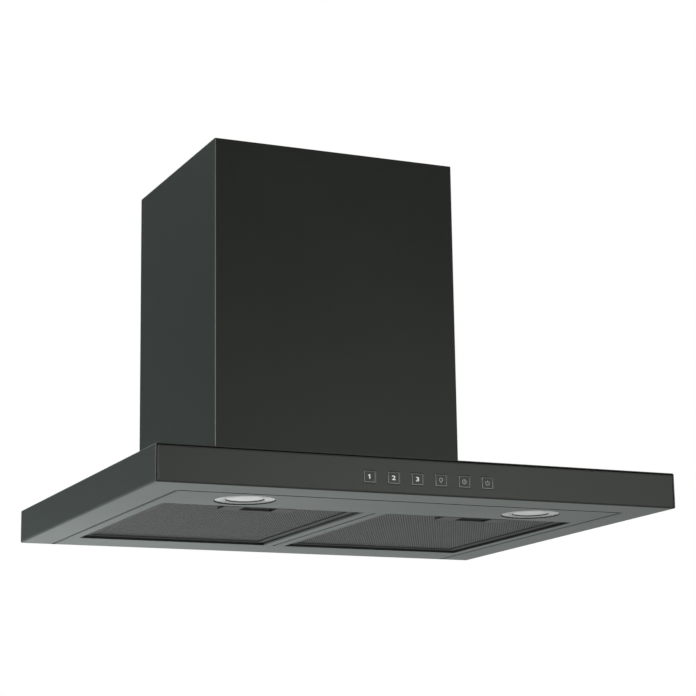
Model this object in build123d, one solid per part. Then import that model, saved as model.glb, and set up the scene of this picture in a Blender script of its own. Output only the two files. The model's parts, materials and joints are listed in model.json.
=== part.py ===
from build123d import *
import os
from math import cos, radians, sin, tan

# A wall-mounted chimney range hood. Millimetres, +Z up. The origin lies on the wall plane, in the
# middle of the hood's width, level with the underside of the canopy. The front faces -Y.

# ---------------------------------------------------------------- overall sizes
HOOD_W = 600.0           # canopy, side to side
HOOD_D = 500.0           # canopy, wall to front
CANOPY_H = 39.0          # height of the flat canopy
CHIMNEY_W = 305.0        # lower chimney cover, side to side
CHIMNEY_D = 270.0        # lower chimney cover, wall to front
CHIMNEY_TOP = 443.0      # top of the lower chimney cover

# ---------------------------------------------------------------- sheet metal
SHEET = 1.0              # thickness of the steel sheet
BEND = 2.0               # outside radius of a folded edge
SEAM = 1.2               # open seam between two visible panels
FIT = 0.3                # gap between pieces that all but touch
SIDE_RIM = 39.0          # width of the underside rim at the sides
FRONT_RIM = 50.0         # width of the underside rim at the front
RIM_LIP = 12.0           # height of the upturned inner edge of a rim
FASCIA_RETURN = 12.0     # depth of the fascia's top return
OVER = 1.0               # how far a cut runs past the metal

# ---------------------------------------------------------------- bottom pan and filter bays
PAN_OVERLAP = 6.0        # the front rim's tongue lies this far over the pan
PAN_GROOVE = 3.5         # groove between the front rim's flat part and the pan
JOGGLE_RUN = 2.0         # length over which the tongue rises by its own thickness
PAN_REAR_GAP = 0.5       # between the pan and the rear wall
SIDE_STRIP = 14.0        # side rim to the filter bays
LAMP_STRIP = 135.5       # hood's front to the front edge of the bays
BAY_REAR = 65.0          # wall to the rear edge of the bays
BAY_LIP = 8.0            # height of the upturned edge round the bays
BAY_CORNER = 2.0         # plan corner radius of the bays
RAIL_W = 14.1            # each of the two rails that part the bays
RAIL_GAP = 0.8           # seam between the two rails

# ---------------------------------------------------------------- grease filters
FILTER_SIDE_GAP = 0.6    # filter to bay edge, at the sides and the rear
FILTER_FRONT_GAP = 0.8   # filter to bay edge, at the front
FILTER_RECESS = 2.6      # filter face above the pan's face
FILTER_H = 10.2          # thickness of the cassette
FILTER_BORDER = 10.0     # visible width of the cassette's frame
FILTER_CORNER = 2.0      # plan corner radius of the cassette
MESH_T = 0.8             # thickness of a mesh sheet
MESH_CELLS_X = 12        # diamonds across a mesh sheet
MESH_CELLS_Y = 22        # diamonds from front to rear
MESH_WIRE = 2.4          # width of the metal left between two diamonds
MESH_STRETCH = 1.5       # a diamond's length, in rows, before the wire is taken off
PLEATS = 24              # folds of the foil core
FOIL_T = 0.4             # thickness of the foil core
FOIL_CREST = 0.48        # height that the foil adds above its upper crests
HOOK_W = 20.0            # width of a rear hook
HOOK_SPREAD = 70.0       # hook centre to filter centre
HOOK_REACH = 6.6         # how far a hook reaches behind the cassette
HOOK_T = 1.0             # thickness of a hook

# ---------------------------------------------------------------- filter latches
LATCH_W = 84.0           # latch plate, side to side
LATCH_D = 27.0           # latch plate, front to rear
LATCH_PROUD = 1.8        # latch plate below the filter's face
LATCH_WALL = 1.0         # wall of the latch plate and its cup
LATCH_CORNER = 3.0       # plan corner radius of the latch plate
LATCH_FROM_FRONT = 7.5   # filter front to the latch plate
POCKET_W = 38.0          # finger pocket, side to side
POCKET_D = 22.0          # finger pocket, front to rear
POCKET_FRONT = 8.7       # filter front to the pocket's front wall
POCKET_CEILING = 5.4     # pocket ceiling above the filter's face
SLIDER_W = 34.0          # latch slider
SLIDER_T = 1.5
TONGUE_W = 16.0
TONGUE_PROUD = 0.3       # drawn tongue in front of the cassette, short of the catch
TAB_FROM_FRONT = 17.5    # filter front to the finger tab
TAB_W = 28.0
TAB_T = 1.5
SLIDER_BEFORE_TAB = 3.0  # slider body in front of the tab
SLIDER_BEHIND_TAB = 1.0  # slider body behind the tab
LATCH_TRAVEL = 5.0
SPRING_ROOM = 12.0       # behind the slider at rest
SPRING_W = 3.0           # height of the spring strip
SPRING_T = 0.3
SPRING_WAVES = 5
SPRING_SIDE_GAP = 2.0    # spring to the slider's edge, on each side

# ---------------------------------------------------------------- lamps
LAMP_FROM_SIDE = 130.0   # lamp centre to the hood's side
LAMP_FROM_FRONT = 93.0   # lamp centre to the front
LAMP_RECESS = 1.9        # pan's face up to the sunk seat of a lamp
LAMP_SEAT_GAP = 0.8      # bezel to the wall of its seat
BEZEL_R = 32.0
BEZEL_T = 1.0
BEZEL_CHAMFER = 0.6
LENS_R = 20.0
LENS_T = 2.1
LENS_RIM = 3.0           # the lens's edge hidden behind the bezel
SLEEVE_R = 27.5
SLEEVE_H = 13.0
LAMP_HOLE_CLEAR = 0.5
LAMP_BODY_H = 23.0
LAMP_WALL = 1.7
LED_BOARD_T = 1.6
CLIP_W = 8.0
CLIP_T = 0.5
CLIP_REACH = 4.0         # sleeve to the clip's foot on the pan
CLIP_TOE = 3.0           # upturned end of the clip
CLIP_TOE_RISE = 1.5

# ---------------------------------------------------------------- keys and their electronics
KEY_COUNT = 6
KEY_PITCH = 27.3
KEY_W = 13.0
KEY_H = 12.4
KEY_Z = 16.7             # key centre above the underside
KEY_GAP = 0.25           # key to the edge of its hole
KEY_FLANGE = 1.2         # flange behind the fascia, beyond the key's face
KEY_FLANGE_T = 1.0
KEY_STEM = 8.0
KEY_STEM_L = 4.7
KEY_TRAVEL = 0.8
FRAME_WALL = 1.6
FRAME_PLATE_T = 1.5
FRAME_HALF_W = 86.0
FRAME_BELOW = 12.0       # frame's edge below and above the key centres
FRAME_DEPTH = 10.0
BOARD_T = 1.6
SWITCH_W = 6.2
SWITCH_BODY = 2.3
PLUNGER_R = 1.7
PLUNGER_GAP = 1.1        # key stem to switch plunger, more than the travel

# ---------------------------------------------------------------- chimney covers
CHIMNEY_RETURN = 12.0    # rear return of both covers
CHIMNEY_RUN_GAP = 0.8    # between the nested covers
UPPER_LIFT = 5.0         # upper cover's foot above the canopy top when nested
UPPER_DROP = 2.0         # upper cover's top below the lower one's top when nested
BRACKET_T = 2.0
BRACKET_H = 30.0
BRACKET_BELOW_TOP = 11.0
BRACKET_HALF = 125.0
BRACKET_STEP = 5.0
BRACKET_TAB = 35.0
BRACKET_HOLE_R = 3.0
BRACKET_HOLE_X = 60.0

# ---------------------------------------------------------------- blower
BOX_HALF = 136.0         # half the blower box's width
BOX_D = 250.0
BOX_TOP = 290.0
BOX_FLANGE = 12.0
BOX_SCREW_INSET = 40.0   # flange screw to the box's front or rear
AIR_EDGE = 12.0          # blower box wall to the air cut-out in the canopy top
HANG_X = 100.0
HANG_R = 4.0
HANG_Z = 262.0
LOCK_R = 3.2
LOCK_Z = 80.0
FAN_Y = -125.0
FAN_Z = 150.0
WHEEL_R = 83.0
WHEEL_HALF = 50.0
BLADES = 36
BLADE_ROOT = 68.0
BLADE_DEGREES = 1.0      # blade thickness, as an angle
BLADE_BOW = 9.0          # angle from a blade's root to its middle
BLADE_SWEEP = 14.0       # angle from a blade's root to its tip
HUB_R = 14.0
HUB_L = 12.0
NUT_R = 7.0
NUT_L = 5.0
RING_T = 2.0
SCROLL_R = 104.0
SCROLL_HALF = 56.0
SCROLL_WALL = 2.0
INLET_R = 64.0
THROAT_HALF = 71.0
MOTOR_R = 42.0
MOTOR_FROM = 12.0
MOTOR_WALL = 2.0
STATOR_R = 39.5
STATOR_BORE = 24.0
STATOR_HALF = 13.0
ROTOR_GAP = 0.5
SHAFT_R = 4.0
SHAFT_TAIL = 20.0        # shaft beyond the wheel's disc
BEARING_R = 9.0
BEARING_W = 7.0
RUNNING = 0.05           # radial clearance of a turning fit
PRESS = 0.02             # radial clearance drawn in a press fit
MOUNT_T = 2.5
MOUNT_RIM = 12.0
ARM_W = 14.0
MOUNT_BOSS = 1.0         # mount plate beyond the motor, all round
MOTOR_SCREW_INSET = 8.0  # motor screw to the motor's skin
CAPACITOR_R = 15.0
CAPACITOR_L = 50.0
CAPACITOR_Y = -40.0
CAPACITOR_Z = 60.0
CAPACITOR_GAP = 2.0      # capacitor to the wall of the blower box
STUD_R = 5.0
STUD_L = 6.0
BAND_T = 1.5
BAND_W = 14.0
BAND_FOOT = 18.0         # width of the clip's foot on the wall

# ---------------------------------------------------------------- duct collar and its flaps
COLLAR_Y = -100.0
COLLAR_R = 74.5          # outside of the spigot, for a 150 mm duct
COLLAR_WALL = 1.5
COLLAR_H = 45.0
COLLAR_FLANGE = 15.5
COLLAR_FLANGE_T = 1.5
LEDGE_W = 2.5
FLAP_RISE = 10.0         # flap axis above the blower box
FLAP_GAP = 0.7
FLAP_T = 1.2
AXLE_R = 1.5
KNUCKLE_R = 3.0
KNUCKLE_W = 12.0
FLAP_EDGE = 3.6          # axle to the straight edge of a flap
KNUCKLE_STEP = 4         # knuckle widths between two knuckles of one flap

# ---------------------------------------------------------------- wiring, terminals, fasteners
GLAND_X = 110.0
GLAND_Y = -40.0
GLAND_R = 9.0
GLAND_NECK = 5.9
GLAND_BORE = 3.7
GLAND_CLEAR = 0.1
GLAND_OUT = 4.0
GLAND_IN = 4.0
POWER_W = 100.0
POWER_D = 52.0
POWER_H = 24.0
POWER_REAR_GAP = 9.0     # power module to the rim round the filter bays
LEAD_R = 2.0
LEAD_RUN = 16.0          # straight run of a lead where it meets a housing
BOARD_LEAD_X = 20.0      # lead to the control board
MOTOR_LEAD_Y = -21.0     # motor lead's exit from the motor's axis
MOTOR_LEAD_Z = -10.5
MOTOR_LEAD_BEND = (39.0, -58.0, 50.0)   # from the scroll's side, the fan's axis and the canopy
SCREW_R = 2.0
HEAD_R = 3.6
HEAD_T = 2.4
SCREW_L = 8.0

# ---------------------------------------------------------------- places that follow from the sizes
SIDE = HOOD_W / 2
FRONT = -HOOD_D
RIM_X = SIDE - SIDE_RIM
RIM_Y = FRONT + FRONT_RIM
BAY_FRONT = HOOD_D - LAMP_STRIP
PAN_X = RIM_X - SEAM
PAN_Z = 0.0
PAN_TOP = PAN_Z + SHEET
BAY_INNER_X = RAIL_GAP / 2 + RAIL_W
BAY_OUTER_X = RIM_X - SIDE_STRIP
BAY_MID_X = (BAY_INNER_X + BAY_OUTER_X) / 2
LIP_TOP = PAN_Z + BAY_LIP
LAMP_SEAT = PAN_Z + LAMP_RECESS
FILTER_HALF = (BAY_OUTER_X - BAY_INNER_X) / 2 - FILTER_SIDE_GAP
FILTER_FRONT = -BAY_FRONT + FILTER_FRONT_GAP
FILTER_REAR = -BAY_REAR - FILTER_SIDE_GAP
FILTER_Z = PAN_Z + FILTER_RECESS
FILTER_TOP = FILTER_Z + FILTER_H
FASCIA_X = SIDE - SHEET - SEAM
FASCIA_TOP = CANOPY_H - SHEET - FIT
LAMP_X = SIDE - LAMP_FROM_SIDE
LAMP_Y = FRONT + LAMP_FROM_FRONT
AIR_X = BOX_HALF - AIR_EDGE
AXLE_Z = BOX_TOP + FLAP_RISE
MOTOR_TO = SCROLL_HALF
UNDER_TOP = CANOPY_H - SHEET
SIDES = {"left": -1, "right": 1}


# ================================================================ helpers
def block(x, y, z):
    """A box between the low and high places given on each axis."""
    lows = [min(pair) for pair in (x, y, z)]
    spans = [abs(pair[1] - pair[0]) for pair in (x, y, z)]
    return Pos(*lows) * Box(*spans, align=(Align.MIN, Align.MIN, Align.MIN))


def rod(radius, start, direction, length):
    """A round bar from start, along direction."""
    where = Plane(origin=start, z_dir=direction)
    return where * Cylinder(radius, length, align=(Align.CENTER, Align.CENTER, Align.MIN))


def pipe(outer, inner, start, direction, length):
    """A round tube from start, along direction."""
    return rod(outer, start, direction, length) - rod(inner, start, direction, length)


def along_x(face, low, high):
    """A section drawn in Y and Z, run from low to high along X."""
    return extrude(Plane.YZ.offset(low) * face, high - low, dir=(1, 0, 0))


def along_y(face, low, high):
    """A section drawn in X and Z, run from low to high along Y."""
    return extrude(Plane.XZ.offset(-low) * face, high - low, dir=(0, 1, 0))


def along_z(face, low, high):
    """A section drawn in X and Y, run from low to high along Z."""
    return extrude(Plane.XY.offset(low) * face, high - low, dir=(0, 0, 1))


def upright_hole(radius, x, y, low, thickness):
    """Cutter for a hole through a level sheet that starts at the height low."""
    return rod(radius, (x, y, low - OVER), (0, 0, 1), thickness + 2 * OVER)


def wall_hole(radius, x, z, thickness):
    """Cutter for a hole through a sheet that lies against the wall."""
    return rod(radius, (x, OVER, z), (0, -1, 0), thickness + 2 * OVER)


def folded(points, thickness, bend):
    """Section of a folded sheet: one face follows points, and the metal lies to the left."""
    corners = [Vector(*point) for point in points]
    steps = [(b - a).normalized() for a, b in zip(corners, corners[1:])]
    lefts = [Vector(-step.Y, step.X) for step in steps]
    turns = [a.cross(b).Z for a, b in zip(steps, steps[1:])]
    far = [corners[0] + lefts[0] * thickness]
    for corner, a, b in zip(corners[1:], lefts, lefts[1:]):
        far.append(corner + (a + b) * (thickness / (1 + a.dot(b))))
    far.append(corners[-1] + lefts[-1] * thickness)
    near_radii = [bend if turn > 0 else bend - thickness for turn in turns]
    far_radii = [bend - thickness if turn > 0 else bend for turn in turns]
    near_line = FilletPolyline(*corners, radius=near_radii)
    far_line = FilletPolyline(*far, radius=far_radii)
    ends = [Line(corners[0], far[0]), Line(corners[-1], far[-1])]
    return make_face([*near_line.edges(), *far_line.edges(), *ends])


def lead(points):
    """A round wire along points, with each bend as wide as its two runs allow."""
    corners = [Vector(*point) for point in points]
    runs = [b - a for a, b in zip(corners, corners[1:])]
    radii = []
    for before, after in zip(runs, runs[1:]):
        half_turn = radians(before.get_angle(after)) / 2
        radii.append(0.45 * min(before.length, after.length) / tan(half_turn))
    path = FilletPolyline(*corners, radius=radii)
    return sweep(Plane(origin=path @ 0, z_dir=path % 0) * Circle(LEAD_R), path=path)


def screw(head_at, direction):
    """A pan-head screw: its head stands on head_at and its thread runs along direction."""
    way = Vector(*direction)
    head = rod(HEAD_R, head_at, way * -1, HEAD_T)
    return head + rod(SCREW_R - RUNNING, head_at, way, SCREW_L)


def group(solids):
    """Several like pieces that share one node."""
    return Compound([solid for part in solids for solid in part.solids()])


def bay_face(grow, corner):
    """Plan of the whole filter window, both bays together, larger by grow on each side."""
    middle_y = -(BAY_FRONT + BAY_REAR) / 2
    width = 2 * (BAY_OUTER_X + grow)
    depth = BAY_FRONT - BAY_REAR + 2 * grow
    return Pos(0, middle_y) * RectangleRounded(width, depth, corner + grow)


def filter_face(side, inset, corner):
    """Plan of one filter cassette, smaller by inset on each side."""
    middle = (side * BAY_MID_X, (FILTER_FRONT + FILTER_REAR) / 2)
    width = 2 * (FILTER_HALF - inset)
    depth = FILTER_REAR - FILTER_FRONT - 2 * inset
    plan = RectangleRounded(width, depth, corner) if corner > 0 else Rectangle(width, depth)
    return Pos(*middle) * plan


# ================================================================ canopy
def canopy_body():
    """Top, sides, side rims and rear wall, folded from one sheet and welded."""
    section = [(RIM_X, RIM_LIP), (RIM_X, 0), (SIDE, 0), (SIDE, CANOPY_H)]
    section += [(-x, z) for x, z in reversed(section)]
    shell = along_y(folded(section, SHEET, BEND), FRONT, 0)
    rear_outline = Pos(0, CANOPY_H / 2) * RectangleRounded(HOOD_W, CANOPY_H, BEND)
    shell += along_y(rear_outline, -SHEET, 0)
    shell -= block((-FASCIA_X, FASCIA_X), (FRONT - OVER, RIM_Y), (-OVER, UNDER_TOP))
    air_y = (-BOX_D + AIR_EDGE, -AIR_EDGE)
    shell -= block((-AIR_X, AIR_X), air_y, (UNDER_TOP - OVER, CANOPY_H + OVER))
    for x, y in box_screw_places():
        shell -= upright_hole(SCREW_R, x, y, UNDER_TOP, SHEET)
    return shell


def front_fascia():
    """Front panel with its underside rim, whose tongue holds the pan, and six key holes."""
    section = [
        (FRONT + FASCIA_RETURN, FASCIA_TOP),
        (FRONT, FASCIA_TOP),
        (FRONT, 0),
        (RIM_Y, 0),
    ]
    panel = along_x(folded(section, SHEET, BEND), -FASCIA_X, FASCIA_X)
    fold = RIM_Y - PAN_GROOVE
    panel -= block((-RIM_X, RIM_X), (fold, RIM_Y + OVER), (-OVER, SHEET + OVER))
    joggle = [
        (fold - BEND, 0),
        (fold, 0),
        (fold + JOGGLE_RUN, SHEET),
        (RIM_Y + PAN_OVERLAP, SHEET),
    ]
    tongue = PAN_X - BEND - FIT
    panel += along_x(folded(joggle, SHEET, BEND), -tongue, tongue)
    for x in key_places():
        half_w = KEY_W / 2 + KEY_GAP
        half_h = KEY_H / 2 + KEY_GAP
        z = (KEY_Z - half_h, KEY_Z + half_h)
        panel -= block((x - half_w, x + half_w), (FRONT - OVER, FRONT + SHEET + OVER), z)
    return panel


def bottom_pan():
    """Underside sheet with the filter window and the sunk seats of both lamps."""
    section = [(-PAN_X, RIM_LIP), (-PAN_X, PAN_Z), (PAN_X, PAN_Z), (PAN_X, RIM_LIP)]
    rear = -SHEET - PAN_REAR_GAP
    pan = along_y(folded(section, SHEET, BEND), RIM_Y, rear)
    pan += block((-PAN_X + SHEET, PAN_X - SHEET), (rear - SHEET, rear), (PAN_TOP, RIM_LIP))
    pan += along_z(bay_face(SHEET, BAY_CORNER), PAN_Z, LIP_TOP)
    pan -= along_z(bay_face(0, BAY_CORNER), PAN_Z - OVER, LIP_TOP + OVER)
    seat_r = BEZEL_R + LAMP_SEAT_GAP
    for side in SIDES.values():
        pan += at_lamp(side, seat_r + SHEET, PAN_Z, LAMP_SEAT + SHEET)
        pan -= at_lamp(side, seat_r, PAN_Z - OVER, LAMP_SEAT)
        pan -= upright_hole(SLEEVE_R + LAMP_HOLE_CLEAR, side * LAMP_X, LAMP_Y, LAMP_SEAT, SHEET)
    return pan


def divider_rails():
    """Two channel rails, back to back, that part the filter window into two bays."""
    near = RAIL_GAP / 2
    section = [(near, LIP_TOP), (near, PAN_Z), (near + RAIL_W, PAN_Z), (near + RAIL_W, LIP_TOP)]
    rail = along_y(folded(section, SHEET, BEND), -BAY_FRONT, -BAY_REAR)
    return group([rail, mirror(rail, Plane.YZ)])


# ================================================================ chimney covers
def chimney_cover(inset, foot, top):
    """A three-sided cover with two rear returns, inset from the lower cover's outside."""
    half = CHIMNEY_W / 2 - inset
    front = -CHIMNEY_D + inset
    edge = half - CHIMNEY_RETURN
    section = [(-edge, -inset), (-half, -inset), (-half, front)]
    section += [(-x, y) for x, y in reversed(section)]
    return along_z(folded(section, SHEET, BEND), foot, top)


def flue_bracket():
    """Wall bracket inside the top of the upper cover, with two screw holes."""
    reach = CHIMNEY_W / 2 - 2 * SHEET - CHIMNEY_RUN_GAP - FIT
    section = [
        (reach, -BRACKET_STEP - BRACKET_TAB),
        (reach, -BRACKET_STEP),
        (BRACKET_HALF, -BRACKET_STEP),
        (BRACKET_HALF, 0),
    ]
    section += [(-x, y) for x, y in reversed(section)]
    top = CHIMNEY_TOP - UPPER_DROP - BRACKET_BELOW_TOP
    bracket = along_z(folded(section, BRACKET_T, BRACKET_T), top - BRACKET_H, top)
    for side in SIDES.values():
        place = (side * BRACKET_HOLE_X, top - BRACKET_H / 2)
        bracket -= wall_hole(BRACKET_HOLE_R, *place, BRACKET_T)
    return bracket


# ================================================================ blower
def box_screw_places():
    """Plan places of the four screws that hold the blower box to the canopy."""
    x = BOX_HALF + BOX_FLANGE / 2
    ends = (BOX_SCREW_INSET - BOX_D, -BOX_SCREW_INSET)
    return [(side * x, y) for side in SIDES.values() for y in ends]


def blower_box():
    """Steel housing round the fan, hung on the wall by its rear face."""
    box = block((-BOX_HALF, BOX_HALF), (-BOX_D, 0), (CANOPY_H, BOX_TOP))
    inner_x = BOX_HALF - SHEET
    box -= block((-inner_x, inner_x), (SHEET - BOX_D, -SHEET), (CANOPY_H - OVER, BOX_TOP - SHEET))
    for side in SIDES.values():
        flange_x = (side * inner_x, side * (BOX_HALF + BOX_FLANGE))
        rear = -SHEET - BRACKET_STEP
        box += block(flange_x, (-BOX_D, rear), (CANOPY_H, CANOPY_H + SHEET))
        for z, radius in ((HANG_Z, HANG_R), (LOCK_Z, LOCK_R)):
            box -= wall_hole(radius, side * HANG_X, z, SHEET)
    box -= upright_hole(COLLAR_R - COLLAR_WALL, 0, COLLAR_Y, BOX_TOP - SHEET, SHEET)
    box -= upright_hole(GLAND_NECK + GLAND_CLEAR, GLAND_X, GLAND_Y, BOX_TOP - SHEET, SHEET)
    for x, y in box_screw_places():
        box -= upright_hole(SCREW_R, x, y, CANOPY_H, SHEET)
    for x, y in collar_screw_places():
        box -= upright_hole(SCREW_R, x, y, BOX_TOP - SHEET, SHEET)
    return box


def housing_screws():
    """Eight like screws: four in the blower box's flanges and four in the collar's flange."""
    foot, head = CANOPY_H + SHEET, BOX_TOP + COLLAR_FLANGE_T
    places = [(x, y, foot) for x, y in box_screw_places()]
    places += [(x, y, head) for x, y in collar_screw_places()]
    return group([screw(place, (0, 0, -1)) for place in places])


def scroll_outline(inset):
    """Side view of the fan scroll, inset from its outer skin: a ring and a flaring throat."""
    ring = Pos(FAN_Y, FAN_Z) * Circle(SCROLL_R - inset)
    top = BOX_TOP - SHEET
    corners = [
        (FAN_Y, FAN_Z),
        (COLLAR_Y - THROAT_HALF + inset, top),
        (COLLAR_Y + THROAT_HALF - inset, top),
        (FAN_Y + SCROLL_R - inset, FAN_Z),
    ]
    return ring + make_face(Polyline(*corners, close=True))


def scroll_half(side):
    """One half of the fan scroll, split at the middle of the wheel."""
    half = along_x(scroll_outline(0), 0, SCROLL_HALF)
    half -= along_x(scroll_outline(SCROLL_WALL), -OVER, SCROLL_HALF - SCROLL_WALL)
    half -= on_fan_axis(INLET_R, 0, SCROLL_HALF + OVER)
    return half if side > 0 else mirror(half, Plane.YZ)


def on_fan_axis(radius, low, high):
    """A round bar on the fan's axis."""
    return rod(radius, (low, FAN_Y, FAN_Z), (1, 0, 0), high - low)


def fan_wheel():
    """Double-inlet wheel: a disc with a hub, curved blades and two end rings."""
    def spot(radius, angle):
        return (radius * cos(radians(angle)), radius * sin(radians(angle)))

    tip = WHEEL_R - RING_T / 2
    middle = (BLADE_ROOT + tip) / 2
    stations = [(BLADE_ROOT, 0), (middle, BLADE_BOW), (tip, BLADE_SWEEP)]
    near = [spot(radius, angle) for radius, angle in stations]
    far = [spot(radius, angle + BLADE_DEGREES) for radius, angle in stations]
    edges = [
        ThreePointArc(*near),
        Line(near[-1], far[-1]),
        ThreePointArc(*reversed(far)),
        Line(far[0], near[0]),
    ]
    blade = make_face(edges)
    pieces = []
    for count in range(BLADES):
        turned = Pos(FAN_Y, FAN_Z) * Rot(0, 0, 360 * count / BLADES) * blade
        pieces.append(along_x(turned, -WHEEL_HALF, WHEEL_HALF))
    for low in (-WHEEL_HALF, WHEEL_HALF - RING_T):
        ring = on_fan_axis(WHEEL_R, low, low + RING_T)
        pieces.append(ring - on_fan_axis(BLADE_ROOT - RING_T / 2, low, low + RING_T))
    disc = on_fan_axis(WHEEL_R, -RING_T, 0) + on_fan_axis(HUB_R, -HUB_L, 0)
    bore = on_fan_axis(SHAFT_R + PRESS, -HUB_L - OVER, OVER)
    return (disc + pieces) - bore


def wheel_nut():
    """Hexagon nut that holds the wheel on its shaft."""
    nut = along_x(Pos(FAN_Y, FAN_Z) * RegularPolygon(NUT_R, 6), -HUB_L - NUT_L, -HUB_L)
    return nut - on_fan_axis(SHAFT_R + PRESS, -HUB_L - NUT_L - OVER, OVER - HUB_L)


def motor_shaft():
    """Steel shaft from the wheel nut through both bearings."""
    return on_fan_axis(SHAFT_R, -SHAFT_TAIL, MOTOR_TO - MOTOR_WALL - FIT)


def bearing_spans():
    """Where each ball bearing starts and ends along the shaft."""
    first = MOTOR_FROM + MOTOR_WALL
    last = MOTOR_TO - MOTOR_WALL
    return [(first, first + BEARING_W), (last - BEARING_W, last)]


def motor_housing():
    """Round can with an end wall and a bearing seat at both ends."""
    can = on_fan_axis(MOTOR_R, MOTOR_FROM, MOTOR_TO)
    can -= on_fan_axis(MOTOR_R - MOTOR_WALL, MOTOR_FROM + MOTOR_WALL, MOTOR_TO - MOTOR_WALL)
    for low, high in bearing_spans():
        seat = on_fan_axis(BEARING_R + PRESS + MOTOR_WALL, low, high)
        can += seat - on_fan_axis(BEARING_R + PRESS, low, high)
    return can - on_fan_axis(SHAFT_R + FIT, MOTOR_FROM - OVER, MOTOR_FROM + MOTOR_WALL + OVER)


def motor_bearings():
    """Two ball bearings, each drawn as one ring."""
    rings = []
    for low, high in bearing_spans():
        rings.append(on_fan_axis(BEARING_R, low, high) - on_fan_axis(SHAFT_R + RUNNING, low, high))
    return group(rings)


def motor_span():
    """Where the stator and the rotor start and end along the shaft."""
    middle = (MOTOR_FROM + MOTOR_TO) / 2
    return middle - STATOR_HALF, middle + STATOR_HALF


def motor_stator():
    """Wound stator ring inside the can."""
    low, high = motor_span()
    return on_fan_axis(STATOR_R, low, high) - on_fan_axis(STATOR_BORE, low, high)


def motor_rotor():
    """Rotor pressed on the shaft."""
    low, high = motor_span()
    body = on_fan_axis(STATOR_BORE - ROTOR_GAP, low, high)
    return body - on_fan_axis(SHAFT_R + PRESS, low, high)


def motor_screw_places():
    """Y and Z of the three screws between the motor and its mount."""
    radius = MOTOR_R - MOTOR_SCREW_INSET
    angles = [90 + 120 * count for count in range(3)]
    return [(FAN_Y + radius * cos(radians(a)), FAN_Z + radius * sin(radians(a))) for a in angles]


def motor_mount():
    """Three-armed plate that carries the motor in the scroll's right inlet."""
    low, high = SCROLL_HALF, SCROLL_HALF + MOUNT_T
    rim = on_fan_axis(INLET_R + MOUNT_RIM, low, high) - on_fan_axis(INLET_R, low, high)
    plate = rim + on_fan_axis(MOTOR_R + MOUNT_BOSS, low, high)
    arm_l = INLET_R + MOUNT_RIM / 2
    for count in range(3):
        arm = Pos(arm_l / 2, 0) * Rectangle(arm_l, ARM_W)
        turned = Pos(FAN_Y, FAN_Z) * Rot(0, 0, 30 + 120 * count) * arm
        plate += along_x(turned, low, high)
    for y, z in motor_screw_places():
        plate -= rod(SCREW_R, (low - OVER, y, z), (1, 0, 0), MOUNT_T + 2 * OVER)
    return plate


def motor_screws():
    """Three screws that hold the motor to its mount."""
    outside = SCROLL_HALF + MOUNT_T
    short = MOUNT_T - FIT
    pieces = []
    for y, z in motor_screw_places():
        head = rod(HEAD_R, (outside, y, z), (1, 0, 0), HEAD_T)
        pieces.append(head + rod(SCREW_R - RUNNING, (outside - short, y, z), (1, 0, 0), short))
    return group(pieces)


def capacitor_axis():
    """X of the motor capacitor, which stands beside the left wall of the blower box."""
    return -BOX_HALF + SHEET + CAPACITOR_R + CAPACITOR_GAP


def capacitor():
    """Motor run capacitor."""
    base = (capacitor_axis(), CAPACITOR_Y, CAPACITOR_Z)
    can = rod(CAPACITOR_R, base, (0, 0, 1), CAPACITOR_L)
    stud = (base[0], base[1], base[2] + CAPACITOR_L)
    return can + rod(STUD_R, stud, (0, 0, 1), STUD_L)


def capacitor_clip():
    """Band that holds the capacitor to the wall of the blower box."""
    low = CAPACITOR_Z + (CAPACITOR_L - BAND_W) / 2
    start = (capacitor_axis(), CAPACITOR_Y, low)
    foot_x = (-BOX_HALF + SHEET, capacitor_axis() - CAPACITOR_R + CAPACITOR_GAP / 2)
    foot_y = (CAPACITOR_Y - BAND_FOOT / 2, CAPACITOR_Y + BAND_FOOT / 2)
    band = rod(CAPACITOR_R + BAND_T, start, (0, 0, 1), BAND_W)
    band += block(foot_x, foot_y, (low, low + BAND_W))
    return band - rod(CAPACITOR_R + FIT / 2, start, (0, 0, 1), BAND_W)


# ================================================================ duct collar
def collar_screw_places():
    """Plan places of the four screws in the collar's flange."""
    radius = COLLAR_R + COLLAR_FLANGE / 2
    angles = [45 + 90 * count for count in range(4)]
    return [(radius * cos(radians(a)), COLLAR_Y + radius * sin(radians(a))) for a in angles]


def outlet_collar():
    """Spigot for the duct, with a flange, a ledge under the flaps and holes for their axle."""
    base = (0, COLLAR_Y, BOX_TOP)
    bore = COLLAR_R - COLLAR_WALL
    collar = pipe(COLLAR_R, bore, base, (0, 0, 1), COLLAR_H)
    collar += pipe(COLLAR_R + COLLAR_FLANGE, bore, base, (0, 0, 1), COLLAR_FLANGE_T)
    ledge_top = AXLE_Z - FLAP_T / 2 - FIT
    ledge = (0, COLLAR_Y, ledge_top - COLLAR_WALL)
    collar += pipe(bore + COLLAR_WALL / 2, bore - LEDGE_W, ledge, (0, 0, 1), COLLAR_WALL)
    axle_from = (-COLLAR_R - OVER, COLLAR_Y, AXLE_Z)
    collar -= rod(AXLE_R + PRESS, axle_from, (1, 0, 0), 2 * (COLLAR_R + OVER))
    # The ledge is cut away round the axle, where the knuckles turn.
    room = KNUCKLE_R + FIT
    room_z = (ledge[2] - OVER, ledge_top + OVER)
    cleared = block((-bore, bore), (COLLAR_Y - room, COLLAR_Y + room), room_z)
    collar -= cleared & rod(bore, (0, COLLAR_Y, room_z[0]), (0, 0, 1), room_z[1] - room_z[0])
    for x, y in collar_screw_places():
        collar -= upright_hole(SCREW_R, x, y, BOX_TOP, COLLAR_FLANGE_T)
    return collar


def damper_axle():
    """Wire axle that both flaps turn on."""
    start = (-COLLAR_R + FIT, COLLAR_Y, AXLE_Z)
    return rod(AXLE_R, start, (1, 0, 0), 2 * (COLLAR_R - FIT))


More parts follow.
